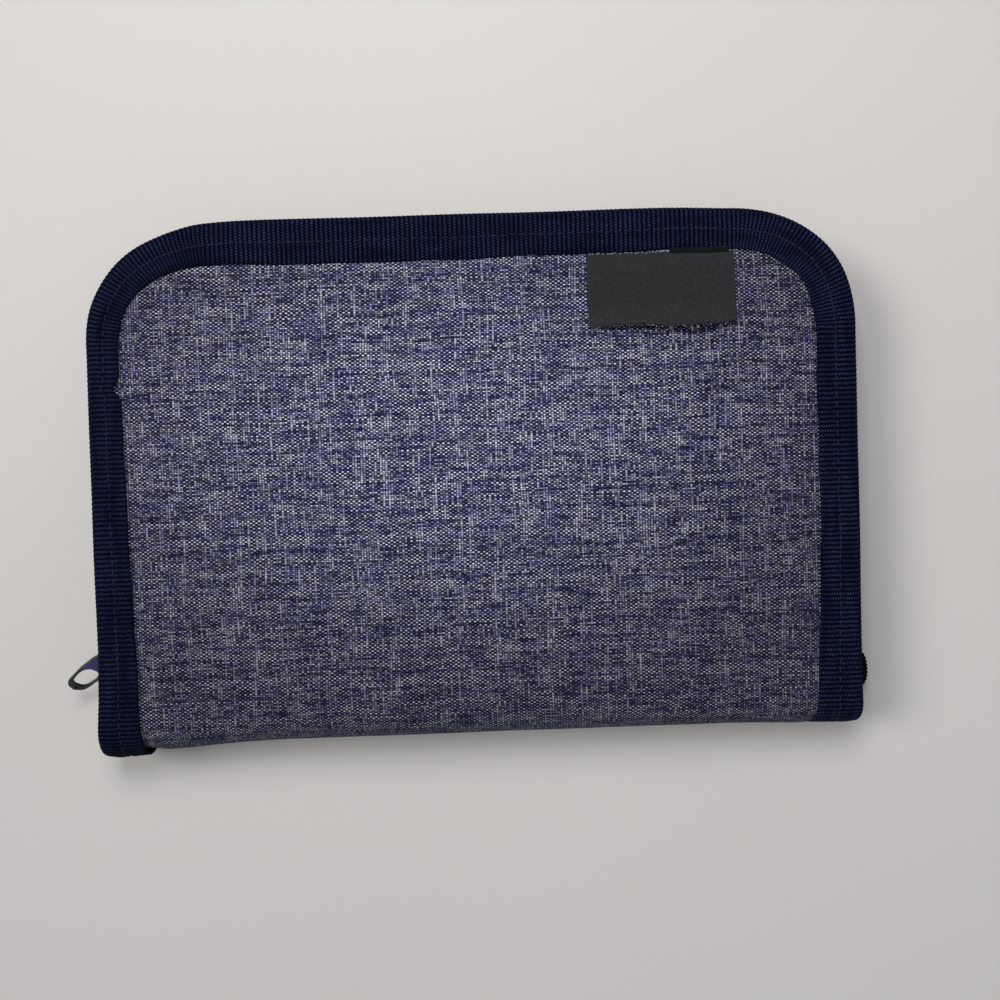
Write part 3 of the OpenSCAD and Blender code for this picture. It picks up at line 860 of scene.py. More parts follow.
def build_label():
    """Patch of twill with a torn lower edge, a little lifted, and the label end that it covers."""
    low, high = node_box("label_patch")
    rng = np.random.default_rng(3)
    x = np.linspace(low[0], high[0], 139)
    torn = 0.35 * np.cumsum(rng.normal(0, 0.35, len(x)))
    torn = torn - np.linspace(torn[0], torn[-1], len(x)) + rng.normal(0, 0.07, len(x))
    t = np.linspace(0, 1, 60)[:, None]
    y = (low[1] - 0.1 + torn) * (1 - t) + (high[1] - 0.8) * t
    xx = x + 0.15 * np.sin(y * 0.9)
    from_tear = y - low[1]
    lift = 2.7 * near(xx, 62, 17) * smoothstep(-from_tear, -7, 0.5) + 0.9 * smoothstep(-from_tear, -3, 0)
    z = cover_height(xx, y) + 0.36 + lift + 0.07 * waves(xx, y, 17, 8)
    label_piece("label_patch", xx, y, z, 0.35, LABEL, (46, 22.5), ["front_cover"])

    low, high = node_box("label_tab")
    hidden, shown = high[1] - 11.2, high[1] - 0.7
    xx, yy = np.meshgrid(np.linspace(low[0] + 4.0, high[0], 60), np.linspace(hidden, shown, 40))
    rise = smoothstep(yy, 67.5, 69.3)
    z = (cover_height(xx, yy) + 0.08) * (1 - rise) + (THICK + 0.36) * rise - 0.12 * smoothstep(yy, 70, 71)
    yy = yy + 0.08 * np.sin(xx * 2.1)
    label_piece("label_tab", xx, yy, z, 0.22, DARK_TAB_TWILL, (21, 10.6), ["front_cover", "front_binding"])
    build_frays(rng, x, y[0])


build_label()


# ------------------------------------------------------------------ main zip

ZIP_INSET = 8.0
ZIP_R = CORNER_R - ZIP_INSET
ZIP_END_Y = node_box("front_zip_tape")[0][1]
ZIP_SIDE = TOP_Y - CORNER_R - ZIP_END_Y
ZIP_ARC = ZIP_R * PI / 2
ZIP_S = 2 * ZIP_SIDE + 2 * ZIP_ARC + TOP_S
COIL_PITCH = 1.45
LEFT_ROW = node_box("front_zip_stop")[1][1] - ZIP_END_Y
RIGHT_ROW = node_box("zip_bottom_stop")[1][1] - ZIP_END_Y
SLIDER = (node_box("zip_slider")[0] + node_box("zip_slider")[1]) / 2
SLIDER_AT = np.array([ZIP_INSET - HALF_W, SLIDER[1], MID_Z])


def zip_place(length, out, height):
    """Places beside the zip's line, from its left end: out from the line, and at a height."""
    side = np.where(length < ZIP_S / 2, -1.0, 1.0)
    s = np.minimum(length, ZIP_S - length)
    angle = np.clip((s - ZIP_SIDE) / ZIP_R, 0, PI / 2)
    over = np.maximum(s - ZIP_SIDE - ZIP_ARC, 0)
    reach = ZIP_R + out
    x = side * (HALF_W - CORNER_R - over + reach * np.cos(angle))
    return stack(x, ZIP_END_Y + np.minimum(s, ZIP_SIDE) + reach * np.sin(angle), height)


def parted(length):
    """How far each row has drawn back from the middle: only beyond the slider's nose."""
    from_slider = length - (SLIDER_AT[1] - ZIP_END_Y)
    left = 1.5 * smoothstep(-from_slider, 0, 6)
    return np.where(length < ZIP_S / 2, left, 0.5 * smoothstep(length, ZIP_S - 18, ZIP_S - 6))


def build_zip_tape(cover):
    """Woven tape sewn under the binding; it bends down to the middle of the wall."""
    length = np.arange(0, ZIP_S + 0.1, 1.2)[:, None]
    out = np.array([3.2, 1.6, 0.7, 0.15, -0.1, -0.25, -0.36, -0.36])
    height = np.array([20.55, 20.5, 20.1, 19.1, 17.2, 15.6, 14.2, 12.7])
    down = np.array([0, 1.6, 2.6, 3.7, 5.6, 7.2, 8.6, 10.1])
    hang = smoothstep(-height, -19, -14)
    height = height + parted(length) * hang
    out = out + 0.16 * hang * waves(length, 0 * length, 34, 5) * (1 - 0.6 * hang)
    half_thick = 0.22
    do, dh = np.gradient(out, axis=1), np.gradient(height, axis=1)
    size = np.hypot(do, dh) / half_thick
    no, nh = -dh / size, do / size
    outer, inner = [zip_place(length, out + face * no, height + face * nh) for face in (1, -1)]
    grids = outer, inner, stack(length, down)
    if cover == "back":
        grids = on_other_cover(*grids)
    obj = shell(cover + "_zip_tape_cloth", *grids, ZIP_TAPE)
    place_piece(obj, cover, ZIP_TAPE.name, cover + "_zip_tape")
    sheet(obj, down[-1], ZIP_S, "hung", rests_on=[cover + "_binding"])


def coil(name, centre, wide, turns, size, wire, phase):
    """Nylon coil: a flattened helix of round wire.

    centre gives the places of its middle for shares of its length. size is its depth and its width,
    from the middle, and its width lies along wide.
    """
    share = np.linspace(0, 1, turns * 12 + 1)
    angle = share * turns * 2 * PI + phase
    flat = np.sign(np.cos(angle)) * np.abs(np.cos(angle)) ** 0.8
    middle = centre(share)
    ahead = unit(np.gradient(middle, axis=0))
    deep = np.cross(ahead, wide) * size[0]
    line = middle + deep * np.sin(angle)[:, None] + np.array(wide) * size[1] * flat[:, None]
    tangent = unit(np.gradient(line, axis=0))
    first = unit(ahead - tangent * np.sum(ahead * tangent, axis=1)[:, None])
    second = np.cross(tangent, first)
    around = np.arange(6)[:, None] * PI / 3
    rings = line[:, None] + wire * (first[:, None] * np.cos(around) + second[:, None] * np.sin(around))
    return ring_sweep(name, rings[:, ::-1], np.zeros((len(line), 7, 2)), COIL)


def build_zip_coil(cover):
    start, end = LEFT_ROW + 0.1, ZIP_S - RIGHT_ROW - 0.1
    sign, phase = (1, 0) if cover == "front" else (-1, PI)

    def row(length, out, height):
        return zip_place(length, out, MID_Z + sign * (height + parted(length)))

    def centre(share):
        return row(start + share * (end - start), 0.55, 1.35)

    turns = int((end - start) / COIL_PITCH)
    obj = coil(cover + "_zip_coil", centre, (0, 0, 1), turns, size=(0.42, 1.75), wire=0.28, phase=phase)
    place_piece(obj, cover, COIL.name, cover + "_zip_teeth")

    length, seam_out = np.arange(start + 0.4, end, COIL_PITCH), 1.32
    along = unit(zip_place(length + 0.1, seam_out, 0) - zip_place(length, seam_out, 0))
    up = stack(0 * length, 0, 1.0)
    seam, out = row(length, seam_out, 2.5), np.cross(up, along)
    stitches = scatter(cover + "_zip_stitches", capsule(1.3, 0.12), seam, along, up, out, THREAD)
    place_piece(stitches, cover, ZIP_TAPE.name)


for cover in ("front", "back"):
    build_zip_tape(cover)
    build_zip_coil(cover)


# ------------------------------------------------------------------ sliders, pulls and stops


def round_corners(points, radii, steps=7):
    """A closed outline with each corner of a polygon rounded to its own radius."""
    points = np.asarray(points, float)
    outline = []
    for k, corner in enumerate(points):
        back, ahead = unit(np.array([points[k - 1] - corner, points[(k + 1) % len(points)] - corner]))
        half = math.acos(max(-1.0, min(1.0, float(back @ ahead)))) / 2
        radius = radii if np.isscalar(radii) else radii[k]
        middle = back + ahead
        centre = corner + middle / np.linalg.norm(middle) * radius / math.sin(half)
        start, end = [corner + way * radius / math.tan(half) - centre for way in (back, ahead)]
        first = math.atan2(start[1], start[0])
        swing = (math.atan2(end[1], end[0]) - first + PI) % (2 * PI) - PI
        for a in first + swing * np.linspace(0, 1, steps):
            outline.append(centre + radius * np.array([math.cos(a), math.sin(a)]))
    return np.array(outline)


def rounded_box(x0, x1, y0, y1, radius, steps=7):
    return round_corners([(x0, y0), (x1, y0), (x1, y1), (x0, y1)], radius, steps)


def mirrored(half, steps=7):
    """Rounded outline from the corners and radii of its lower half; a corner on the axis stays single."""
    corners = half + [(x, -y, radius) for x, y, radius in half[::-1] if y]
    return round_corners([c[:2] for c in corners], [c[2] for c in corners], steps)


def turn_way(outline, left):
    """The outline, wound to the left (anticlockwise) or to the right."""
    x, y = outline[:, 0], outline[:, 1]
    area = np.sum(x * np.roll(y, -1) - y * np.roll(x, -1))
    return outline if (area > 0) == left else outline[::-1]


def plate_part(outlines, thick, bevel, axes, origin):
    """Vertices and faces of a flat plate with rounded edges, from its outline and those of its holes."""
    angle = np.linspace(0, PI / 2, 4)
    inset, level = bevel - bevel * np.sin(angle), thick / 2 - bevel + bevel * np.cos(angle)
    inset, level = np.concatenate([inset, inset[::-1]]), np.concatenate([level, -level[::-1]])
    verts, faces, tops, bottoms = [], [], [], []
    for k, outline in enumerate(outlines):
        line = turn_way(outline, k == 0)
        step = unit(np.roll(line, -1, axis=0) - np.roll(line, 1, axis=0))
        inward = stack(-step[:, 1], step[:, 0])
        n, total = len(line), sum(len(v) for v in verts)
        verts += [stack(*(line + inward * d).T, h) for d, h in zip(inset, level)]
        quads, _ = grid_faces(len(inset), n, wrap=True)
        faces += (total + np.roll(quads[:, ::-1], 1, axis=1)).tolist()
        ids = list(range(total, total + len(inset) * n))
        tops.append(ids[:n])
        bottoms.append(ids[-n:])
    points, flat_from = np.concatenate(verts), len(faces)
    for loops, is_top in ((tops, True), (bottoms, False)):
        ids = sum(loops, [])
        for tri in tessellate_polygon([[Vector((*points[i][:2], 0)) for i in loop] for loop in loops]):
            a, b, c = (ids[t] for t in tri)
            cross = np.cross(points[b][:2] - points[a][:2], points[c][:2] - points[a][:2])
            faces.append([a, b, c] if (cross > 0) == is_top else [a, c, b])
    return np.asarray(origin, float) + points @ np.asarray(axes, float), faces, flat_from


def join_parts(name, parts, material):
    """One mesh of several plate parts; their flat sides stay flat when shaded."""
    verts, faces, smooth = [], [], []
    for points, part_faces, flat_from in parts:
        total = sum(len(v) for v in verts)
        faces += [[i + total for i in f] for f in part_faces]
        smooth += [k < flat_from for k in range(len(part_faces))]
        verts.append(points)
    return add_mesh(name, np.concatenate(verts), faces, material, smooth=smooth)


def slider_parts(size, inner, plate_t, crown, axes, origin, post_w, lip_sides, lip_z, lip_reach):
    """Plates of a zip slider: two leaves, each inner from the middle, with a post, lips and a crown.

    The crown is given by its height, half its length and the thickness of its bar. The axes are the
    ways in which the crown stands out, the nose points, and the width lies.
    """
    out, nose, across = np.asarray(axes, float)
    l, w = size[0] / 2, size[1] / 2
    flat = (nose, across, np.cross(nose, across))
    scale = min(1.0, w / 5)
    half = [(-l, -w * 0.8, 1.2), (-l * 0.2, -w, 3), (l * 0.62, -w, 1.6), (l, -w * 0.66, 0.8)]
    half += [(l, -w * 0.12, 0.25), (l * 0.9, 0, 0.6)]
    outline = mirrored([(x, y, radius * scale) for x, y, radius in half])
    parts = []
    for side in (-1, 1):
        at = origin + out * side * (inner + plate_t / 2)
        parts.append(plate_part([outline], plate_t, plate_t * 0.36, flat, at))
    post = mirrored([(l - 4.4, -0.2, 0.08), (l - 1.2, -post_w / 2, 0.08), (l - 0.6, 0, 0.08)])
    parts.append(plate_part([post], 2 * inner + 0.2, 0.02, flat, origin))
    for lip in lip_sides:
        strip = rounded_box(1 - l, l - 2.2, *sorted((lip * lip_z, lip * (w - 0.25))), 0.3)
        for side in (-1, 1):
            at = origin + out * side * (inner - lip_reach / 2 + 0.1)
            parts.append(plate_part([strip], lip_reach + 0.2, 0.15, flat, at))
    high, half, bar = crown
    base, top = inner + plate_t - 0.2, inner + plate_t + high
    arch = [(-half - bar, base), (-half - bar, top + bar), (half + bar, top + bar), (half + bar, base)]
    arch += [(half, base), (half, top), (-half, top), (-half, base)]
    radii = [0.1, bar * 1.7, bar * 1.7, 0.1, 0.1, bar * 0.8, bar * 0.8, 0.1]
    upright = (nose, out, np.cross(nose, out))
    parts.append(plate_part([round_corners(arch, radii)], bar, bar * 0.3, upright, origin))
    foot = rounded_box(-1, 1, -0.8, 0.8, 0.5)
    for side in (-1, 1):
        at = origin + nose * side * (half + bar / 2) + out * (inner + plate_t)
        parts.append(plate_part([foot * bar], 0.5 * bar, 0.12 * bar, flat, at))
    return parts


def pull_outline(length, width, bar, eye_len, eye_w, window_len, window_w):
    """Outline of a pull from its pivot bar, its eye and its window."""
    neck, half = eye_w / 2 + bar, width / 2
    throat = eye_len + bar * 0.5
    tip, belly = length - bar / 2, throat + (length - throat) * 0.42
    outside = [(-bar / 2, -neck, neck * 0.5), (throat, -neck, 1.2), (throat + 1.8, -half * 0.93, 0.8)]
    outside += [(belly, -half, 4), (tip, -half * 0.78, half * 0.72)]
    eye = rounded_box(bar / 2, bar / 2 + eye_len, -eye_w / 2, eye_w / 2, eye_w / 2 * 0.35)
    end, w = length - bar / 2 - 2.4, window_w / 2
    window = [(end - window_len, -w * 0.9, w * 0.85), (end - window_len * 0.55, -w * 1.04, 4)]
    window += [(end, -w * 0.8, w * 0.76)]
    return [mirrored(outside, steps=12), eye, mirrored(window, steps=12)]


def build_main_slider():
    inner, plate_t, crown = 1.4, 1.2, (4.2, 3.6, 1.2)
    axes = [(-1, 0, 0), (0, -1, 0), (0, 0, 1)]
    lips = {"lip_sides": [-1], "lip_z": 3.5, "lip_reach": 0.7}
    parts = slider_parts((13, 10), inner, plate_t, crown, axes, SLIDER_AT, post_w=1.0, **lips)
    obj = join_parts("zip_slider_body", parts, SLIDER_PAINT)
    place_piece(obj, "zip_slider", SLIDER_PAINT.name, "zip_slider")

    length, bar, flat = 23, 1.3, np.eye(3)
    tip = length - bar / 2 - 0.7
    outlines = pull_outline(length, 9, bar, eye_len=6, eye_w=4.8, window_len=7.4, window_w=6.6)
    parts = [plate_part(outlines, 1.1, 0.4, flat, (0, 0, 0))]
    parts += [plate_part([rounded_box(tip - 0.8, tip + 0.75, -1, 1, 0.7)], 1.9, 0.5, flat, (0, 0, 0))]
    obj = join_parts("zip_pull_tab", parts, PULL_PAINT)
    turn = Euler([math.radians(a) for a in (-45, -8, 38)], "XYZ").to_matrix()
    axes = Matrix([turn @ Vector(a) for a in ((-1, 0, 0), (0, 0, 1), (0, 1, 0))])
    pivot = SLIDER_AT - (inner + plate_t + crown[0] * 2 / 3, 0, 0)
    obj.matrix_world = Matrix.Translation(pivot * MM) @ axes.transposed().to_4x4()
    place_piece(obj, "zip_pull", PULL_PAINT.name, "zip_pull")


def build_pocket_slider():
    at = np.array([node_box("pocket_zip_pull")[0][0] + 0.5, POCKET_ZIP_Y, POCKET_ZIP_Z])
    axes = [(0, 0, -1), (-1, 0, 0), (0, 1, 0)]
    lips = {"lip_sides": [-1, 1], "lip_z": 2.7, "lip_reach": 0.5}
    parts = slider_parts((9.6, 8), 1.1, 0.8, (2.0, 3.6, 1.2), axes, at, post_w=0.6, **lips)
    obj = join_parts("pocket_zip_slider_body", parts, POCKET_METAL)
    place_piece(obj, "pocket_zip_slider", SLIDER_PAINT.name, "pocket_zip_slider")

    outlines = pull_outline(17, 5.2, 1, eye_len=4.8, eye_w=3, window_len=6, window_w=3)
    part = plate_part(outlines, 0.9, 0.25, np.eye(3), at - (0, 0, 2.9))
    obj = join_parts("pocket_zip_pull_tab", [part], POCKET_METAL)
    place_piece(obj, "pocket_zip_pull", PULL_PAINT.name, "pocket_zip_pull")


def build_stop(node, body):
    """Metal stop crimped round the edge of a tape: a clip with a waist."""
    low, high = node_box(node)
    size = high - low
    l, w = size[1] / 2, size[2] / 2
    shape = [(-l, -w), (l, -w), (l, -w * 0.3), (l * 0.82, 0), (l, w * 0.3), (l, w), (-l, w), (-l, w * 0.3)]
    shape += [(-l * 0.82, 0), (-l, -w * 0.3)]
    outline = round_corners(shape, [0.5, 0.5, 0.2, 0.2, 0.2] * 2)
    part = plate_part([outline], size[0], 0.5, [(0, 1, 0), (0, 0, 1), (1, 0, 0)], (low + high) / 2)
    place_piece(join_parts(node + "_clip", [part], STEEL), body, STEEL.name, node)


def build_end_tab():
    """Ribbed tape folded over the fixed end of the zip; its fold stands out past the binding."""
    low, high = node_box("zip_end_tab")
    y = np.linspace(low[1], high[1], 70)
    t = (y - (low[1] + high[1]) / 2) / ((high[1] - low[1]) / 2)
    reach = high[0] - 0.4 - 1.5 * (t + 0.13) ** 2 - 3 * np.abs(t) ** 5 + 0.18 * np.sin(y * 2 * PI / 1.2)
    edge = stack(reach, y, high[2] + 0.25 * (1 - t * t))
    path = (edge, stack(0 * y - 1, 0, 0), stack(0 * y, 0, 1))
    wide = reach - low[0]
    obj = folded_tape("zip_end_tab_tape", path, wide, wide, high[2] - low[2] + 0.25, 0.7, WEBBING, rib=0.1)
    place_piece(obj, "back", WEBBING.name, "zip_end_tab")
    sheet(obj, 15, 27, "folded")


# ------------------------------------------------------------------ inside pockets

COVER_IN = 3.55  # depth of the lining from a cover's outer face
POCKET_ZIP_Y = (node_box("pocket_zip_teeth")[0][1] + node_box("pocket_zip_teeth")[1][1]) / 2
POCKET_ZIP_Z = (node_box("pocket_zip_teeth")[0][2] + node_box("pocket_zip_teeth")[1][2]) / 2


def spans_of(node):
    """Spans of a CAD node's box along x and y."""
    low, high = node_box(node)
    return (low[0], high[0]), (low[1], high[1])


def u_path(x_span, y_span, r=2.5):
    """Points down the left side of a pocket, along its foot and up its right side, with outward normals."""
    (x0, x1), (y0, y1) = x_span, y_span
    outline = round_corners([(x0, y1 + 9), (x0, y0), (x1, y0), (x1, y1 + 9)], [1, r, r, 1], steps=9)
    line = np.concatenate([[(x0, y1)], outline[9:27], [(x1, y1)]])
    run = run_of(line)
    at = np.arange(0, run[-1], 1.0)
    line = stack(*[np.interp(at, run, way) for way in line.T])
    ahead = unit(np.gradient(line, axis=0))
    return line, stack(ahead[:, 1], -ahead[:, 0]), at


def inside_cloth(name, cover, x_span, y_span, depth, material, thick=0.5, step=2.0):
    """A piece of cloth that lies in a cover; depth gives its distance from the cover's outer face."""
    lines = [np.linspace(low, high, max(3, int((high - low) / step) + 1)) for low, high in (x_span, y_span)]
    x, y = np.meshgrid(*lines)
    d = depth(x, y)
    grids = stack(x, y, d + thick / 2), stack(x, y, d - thick / 2), stack(x, y)
    if cover == "front":
        grids = on_other_cover(*grids)
    return shell(name, *grids, material)


def pocket_depth(base, x_span, y_span, seed, droop=0.9, full=0.35):
    """Depth of a pocket's cloth: sewn down at its sides and foot, a little slack in the middle."""

    def depth(x, y):
        side = np.minimum(x - x_span[0], x_span[1] - x)
        foot = y - y_span[0]
        sewn = np.minimum(side, foot)
        low = droop * (1 - smoothstep(sewn, 0, 4))
        slack = full * smoothstep(sewn, 2, 24) + 0.22 * smoothstep(sewn, 3, 20) * waves(x, y, 42, seed)
        return base - low + slack

    return depth


def pocket_panel(name, node, cover, seed, thick=0.5, **shape):
    """The cloth of a pocket; gives its spans, its middle depth, and the depth at any place of it."""
    low, high = node_box(node)
    middle = (low[2] + high[2]) / 2
    base = middle if cover == "back" else THICK - middle
    depth = pocket_depth(base, *spans_of(node), seed, **shape)
    obj = inside_cloth(name, cover, *spans_of(node), depth, POCKET, thick)
    place_piece(obj, cover, POCKET.name, node)
    sheet(obj, high[0] - low[0], high[1] - low[1], "stretched")
    return spans_of(node), base, depth


def edge_tape(name, cover, spans, depth, thick, wide):
    """Ribbed tape folded over the free edge of a pocket, with a row of stitches."""
    (left, right), y = spans[0], spans[1][1]
    x = np.arange(left - 0.2, right + 0.3, 1.0)
    place = stack(x, y + 0.5, depth(x, y + 0 * x) + thick / 2)
    along, inward, normal = stack(1 + 0 * x, 0, 0), stack(0 * x, -1, 0), stack(0 * x, 0, 1)
    origin = place + inward * wide * 0.62 + normal * 0.06
    front = cover == "front"
    if front:
        place, origin, normal = flip(place), flip(origin), -normal
    path = (place, inward, normal)
    obj = folded_tape(name, path, wide + 0 * x, wide, thick, 0.3, TAPE, points=9, mirror=front)
    place_piece(obj, cover, TAPE.name)
    sheet(obj, 2 * wide, right - left, "folded")
    places = [ways[1:-1:3] for ways in (origin, along, np.cross(normal, along), normal)]
    place_piece(scatter(name + "_stitches", capsule(2.3, 0.16), *places, THREAD), cover, TAPE.name)


def gusset(name, cover, node, spans, d0, d1):
    """Pleated wall of a deep pocket, round its sides and foot."""
    (x0, x1), (y0, y1) = spans
    line, out, at = u_path((x0 + 0.4, x1 - 0.4), (y0 + 0.4, y1))
    level = np.linspace(0, 1, 9)
    fold = 1.5 * np.sin(PI * level) ** 1.5
    depth = d0 + (d1 - d0) * level
    grids = []
    for side in (0.2, -0.2):
        plan = [line[:, k, None] + (side - fold) * out[:, k, None] for k in (0, 1)]
        grids.append(stack(*plan, depth))
    grids.append(stack(at[:, None], level * 6))
    if cover == "front":
        grids = on_other_cover(*grids)
    obj = shell(name, *grids, LINING)
    place_piece(obj, cover, LINING.name, node)
    sheet(obj, 10, at[-1], "stretched", area=(d1 - d0) * 1.27 * at[-1] * MM * MM)


def side_tape(name, cover, node, spans, d0, top_depth, wide=4.3):
    """Ribbed tape sewn over the raw sides and foot of flat pockets, from depth d0 to the one at the top."""
    x_span, (foot, top) = spans
    line, out, at = u_path(x_span, (foot, top + 0.5), r=1.6)
    d1 = top_depth(line[:, 1])
    place = stack(*(line + out * 0.35).T, d1)
    inward, normal = stack(-out[:, 0], -out[:, 1], 0), stack(0 * d1, 0, 1)
    front = cover == "front"
    if front:
        place, normal = flip(place), -normal
    path, thick = (place, inward, normal), d1 - d0
    obj = folded_tape(name, path, wide + 0 * d1, wide, thick, 0.3, TAPE, points=7, mirror=front)
    place_piece(obj, cover, TAPE.name, node)
    sheet(obj, 2 * wide + float(np.mean(thick)), at[-1], "folded")


def build_passport_pocket():
    spans, _, depth = pocket_panel("passport_pocket_cloth", "passport_pocket", "back", 31)
    edge_tape("passport_pocket_edge", "back", spans, depth, thick=1.25, wide=6.0)
    low = node_box("passport_pocket")[0]
    gusset("passport_gusset_cloth", "back", "passport_gusset", spans, COVER_IN, low[2] - 0.5)


def build_card_slots():
    edges = []
    for level, node in enumerate(("card_slot_lower", "card_slot_middle", "card_slot_upper")):
        spans, _, depth = pocket_panel(node + "_cloth", node, "back", 40 + level, 0.45, droop=0.1, full=0.1)
        edge_tape(node + "_edge", "back", spans, depth, thick=1.1, wide=5.1)
        edges.append((spans[1][1], node_box(node)[1][2] + 0.45))

    def top(y):
        level = edges[2][1]
        for edge_y, edge_z in (edges[1], edges[0]):
            level = level + (edge_z - level) * smoothstep(-y, -edge_y - 1.5, -edge_y + 0.5)
        return level

    side_tape("card_slot_tape", "back", "card_slot_trim", spans_of("card_slot_trim"), COVER_IN - 0.1, top)


def pocket_strip(node, below, above, depth, material, thick=0.5, step=0.8, hidden=0.0):
    """A strip of cloth along the pocket's zip, which reaches below and above its node's box."""
    (left, right), (low, high) = spans_of(node)
    y_span = (low - below, high + above)
    obj = inside_cloth(node + "_cloth", "front", (left, right), y_span, depth, material, thick, step)
    place_piece(obj, "front", material.name, node)
    sheet(obj, right - left, y_span[1] - y_span[0] + hidden, "stretched")


def build_pocket_coil(end, side, phase):
    left, right = spans_of("pocket_zip_teeth")[0]

    def centre(share):
        x = left + 0.5 + share * (right - left - 1)
        return stack(x, POCKET_ZIP_Y + side * 1.15, POCKET_ZIP_Z - 0.1)

    turns = int((right - left) / 1.2)
    obj = coil("pocket_zip_coil_" + end, centre, (0, 1, 0), turns, size=(0.4, 1.3), wire=0.24, phase=phase)
    place_piece(obj, "front", COIL.name, "pocket_zip_teeth")


def build_zip_pocket():
    spans, base, _ = pocket_panel("zip_pocket_cloth", "zip_pocket_panel", "front", 51, full=0.0)
    gusset("zip_pocket_gusset_cloth", "front", "zip_pocket_gusset", spans, COVER_IN, base - 0.9)
    tape_d = THICK - POCKET_ZIP_Z

    def tape_depth(inner_edge):
        """Depth of a tape whose inner edge, at y, bends down to the coil."""
        reach = abs(inner_edge - POCKET_ZIP_Y)

        def depth(x, y):
            from_coil = np.abs(y - POCKET_ZIP_Y) - reach
            return tape_d + 0.05 * np.sin(x / 9) - 0.95 * smoothstep(from_coil, -2.6, 0.2)

        return depth

    lower, upper = "pocket_zip_tape_lower", "pocket_zip_tape_upper"
    pocket_strip(lower, 3.2, 1.2, tape_depth(spans_of(lower)[1][0] + 0.6), ZIP_TAPE, thick=0.4, step=1.0)
    pocket_strip(upper, 1.2, 3.2, tape_depth(spans_of(upper)[1][1] - 0.6), ZIP_TAPE, thick=0.4, step=1.0)
    build_pocket_coil("lower", -1, 0.0)
    build_pocket_coil("upper", 1, PI)

    def header_depth(x, y):
        low, high = spans_of("zip_pocket_header")[1]
        return tape_d - (tape_d - COVER_IN) * smoothstep(y, low + 0.3, high + 4.0) + 0.05 * np.sin(x / 7)

    pocket_strip("zip_pocket_header", 1.0, 6.5, header_depth, LINING, hidden=1.6)


def build_ticket_slip():
    spans, _, depth = pocket_panel("ticket_slip_cloth", "ticket_slip", "front", 61, droop=0.1, full=0.1)
    edge_tape("ticket_slip_edge", "front", spans, depth, thick=1.25, wide=6.0)

    def top(y):
        return 0 * y + THICK - node_box("ticket_slip")[0][2] + 0.45

    panel = THICK - node_box("zip_pocket_panel")[0][2] - 0.7
    side_tape("ticket_slip_tape", "front", "ticket_slip_trim", spans, panel, top)


def build_pen_loop():
    """Band of ribbed elastic: a foot sewn on the lining, and the loop."""
    low, high = node_box("pen_loop")
    radius = (high[1] - low[1]) / 2 - 0.8
    x = np.linspace(low[0], high[0], 40)
    angle = np.linspace(-PI / 2, 3 * PI / 2, 49)[:, None]
    centre_y, centre_z = high[1] - 0.8 - radius, (low[2] + high[2]) / 2
    slack = 0.12 * np.sin(3 * angle)

    def band(r):
        return stack(x, centre_y + (r + slack) * np.sin(angle), centre_z + (r + slack) * np.cos(angle))

    obj = shell("pen_loop_band", band(radius + 0.75), band(radius + 0.05), stack(x, angle * radius), WEBBING)
    place_piece(obj, "spine", "black_elastic", "pen_loop")
    sheet(obj, 18, 2 * PI * (radius + 0.4), "folded")


build_main_slider()
build_pocket_slider()
for node, body in (("back_zip_stop", "back"), ("front_zip_stop", "front"), ("zip_bottom_stop", "back")):
    build_stop(node, body)
build_end_tab()
build_passport_pocket()
build_card_slots()
build_zip_pocket()
build_ticket_slip()
build_pen_loop()


# ------------------------------------------------------------------ stage, light and camera


def add_object(name, data, place=(0, 0, 0), aim=None):
    """Adds a light or a camera to the scene; it looks along aim."""
    obj = bpy.data.objects.new(name, data)
    obj.location = place
    if aim:
        obj.rotation_euler = Vector(aim).to_track_quat("-Z", "Y").to_euler()
    bpy.context.scene.collection.objects.link(obj)
    return obj


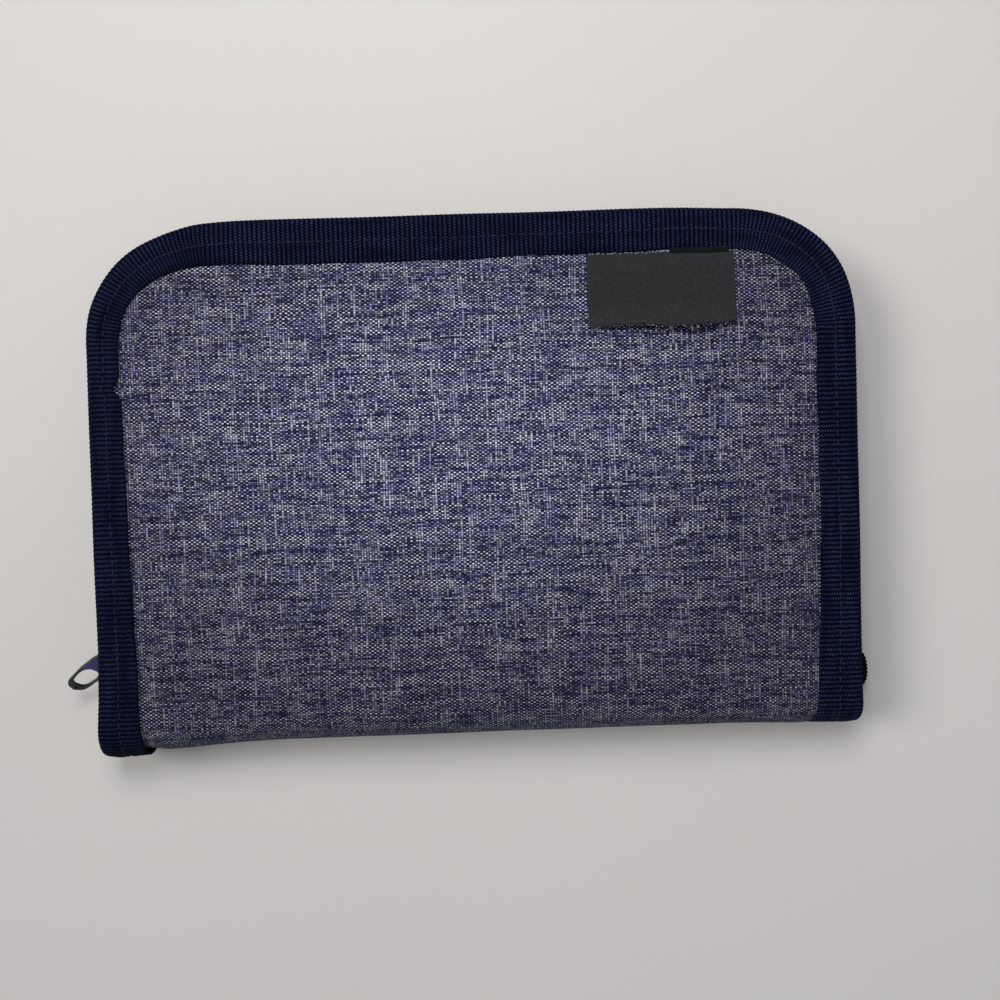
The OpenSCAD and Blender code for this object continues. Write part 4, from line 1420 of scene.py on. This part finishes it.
def build_stage():
    reach, floor = 9000, -0.05
    corners = [(x * reach, y * reach, floor) for x, y in ((-1, -1), (1, -1), (1, 1), (-1, 1))]
    add_mesh("table", corners, [(0, 1, 2, 3)], table_top("table_top"), smooth=False)


def build_light(name, kind, power, place, aim):
    data = bpy.data.lights.new(name, kind)
    data.energy = power
    data.color = (1.0, 0.98, 0.955)
    add_object(name, data, place, aim)
    return data


def build_lights():
    """A lamp over the far edge, and even light from the left, as of a wide window."""
    lamp = build_light("lamp", "AREA", 1.95, (-0.048, 0.335, 0.55), (0.048, -0.335, -0.55))
    lamp.shape = "DISK"
    lamp.size = 0.3
    window = build_light("window", "SUN", 1.35, (0, 0, 0), (0.74, -0.22, -0.72))
    window.angle = math.radians(24)


def build_world():
    """A pale room, brighter at eye level than overhead."""
    world = bpy.data.worlds.new("room")
    world.use_nodes = True
    nodes, links = world.node_tree.nodes, world.node_tree.links
    way, split = nodes.new("ShaderNodeTexCoord"), nodes.new("ShaderNodeSeparateXYZ")
    fade, tone = nodes.new("ShaderNodeMapRange"), nodes.new("ShaderNodeMix")
    fade.interpolation_type = "SMOOTHSTEP"
    fade.inputs["From Max"].default_value = 0.35
    tone.data_type = "RGBA"
    tone.inputs[6].default_value = (0.74, 0.74, 0.75, 1)
    tone.inputs[7].default_value = (0.235, 0.24, 0.25, 1)
    links.new(way.outputs["Generated"], split.inputs[0])
    links.new(split.outputs[2], fade.inputs["Value"])
    links.new(fade.outputs["Result"], tone.inputs[0])
    links.new(tone.outputs[2], nodes["Background"].inputs[0])
    bpy.context.scene.world = world


def build_camera():
    """Looks down at the case from about 350 mm, as a phone held over the table does."""
    data = bpy.data.cameras.new("camera")
    data.sensor_width = 36.0
    data.lens = 36.0 * 1.0432
    data.clip_start = 0.01
    camera = add_object("camera", data, (2.5 * MM, 7.1 * MM, 350 * MM))
    camera.rotation_euler = Euler([math.radians(a) for a in (-2.3013, -0.8375, -1.9341)], "XYZ")
    bpy.context.scene.camera = camera


build_stage()
build_world()
build_lights()
build_camera()
bpy.context.scene.view_settings.view_transform = "Standard"
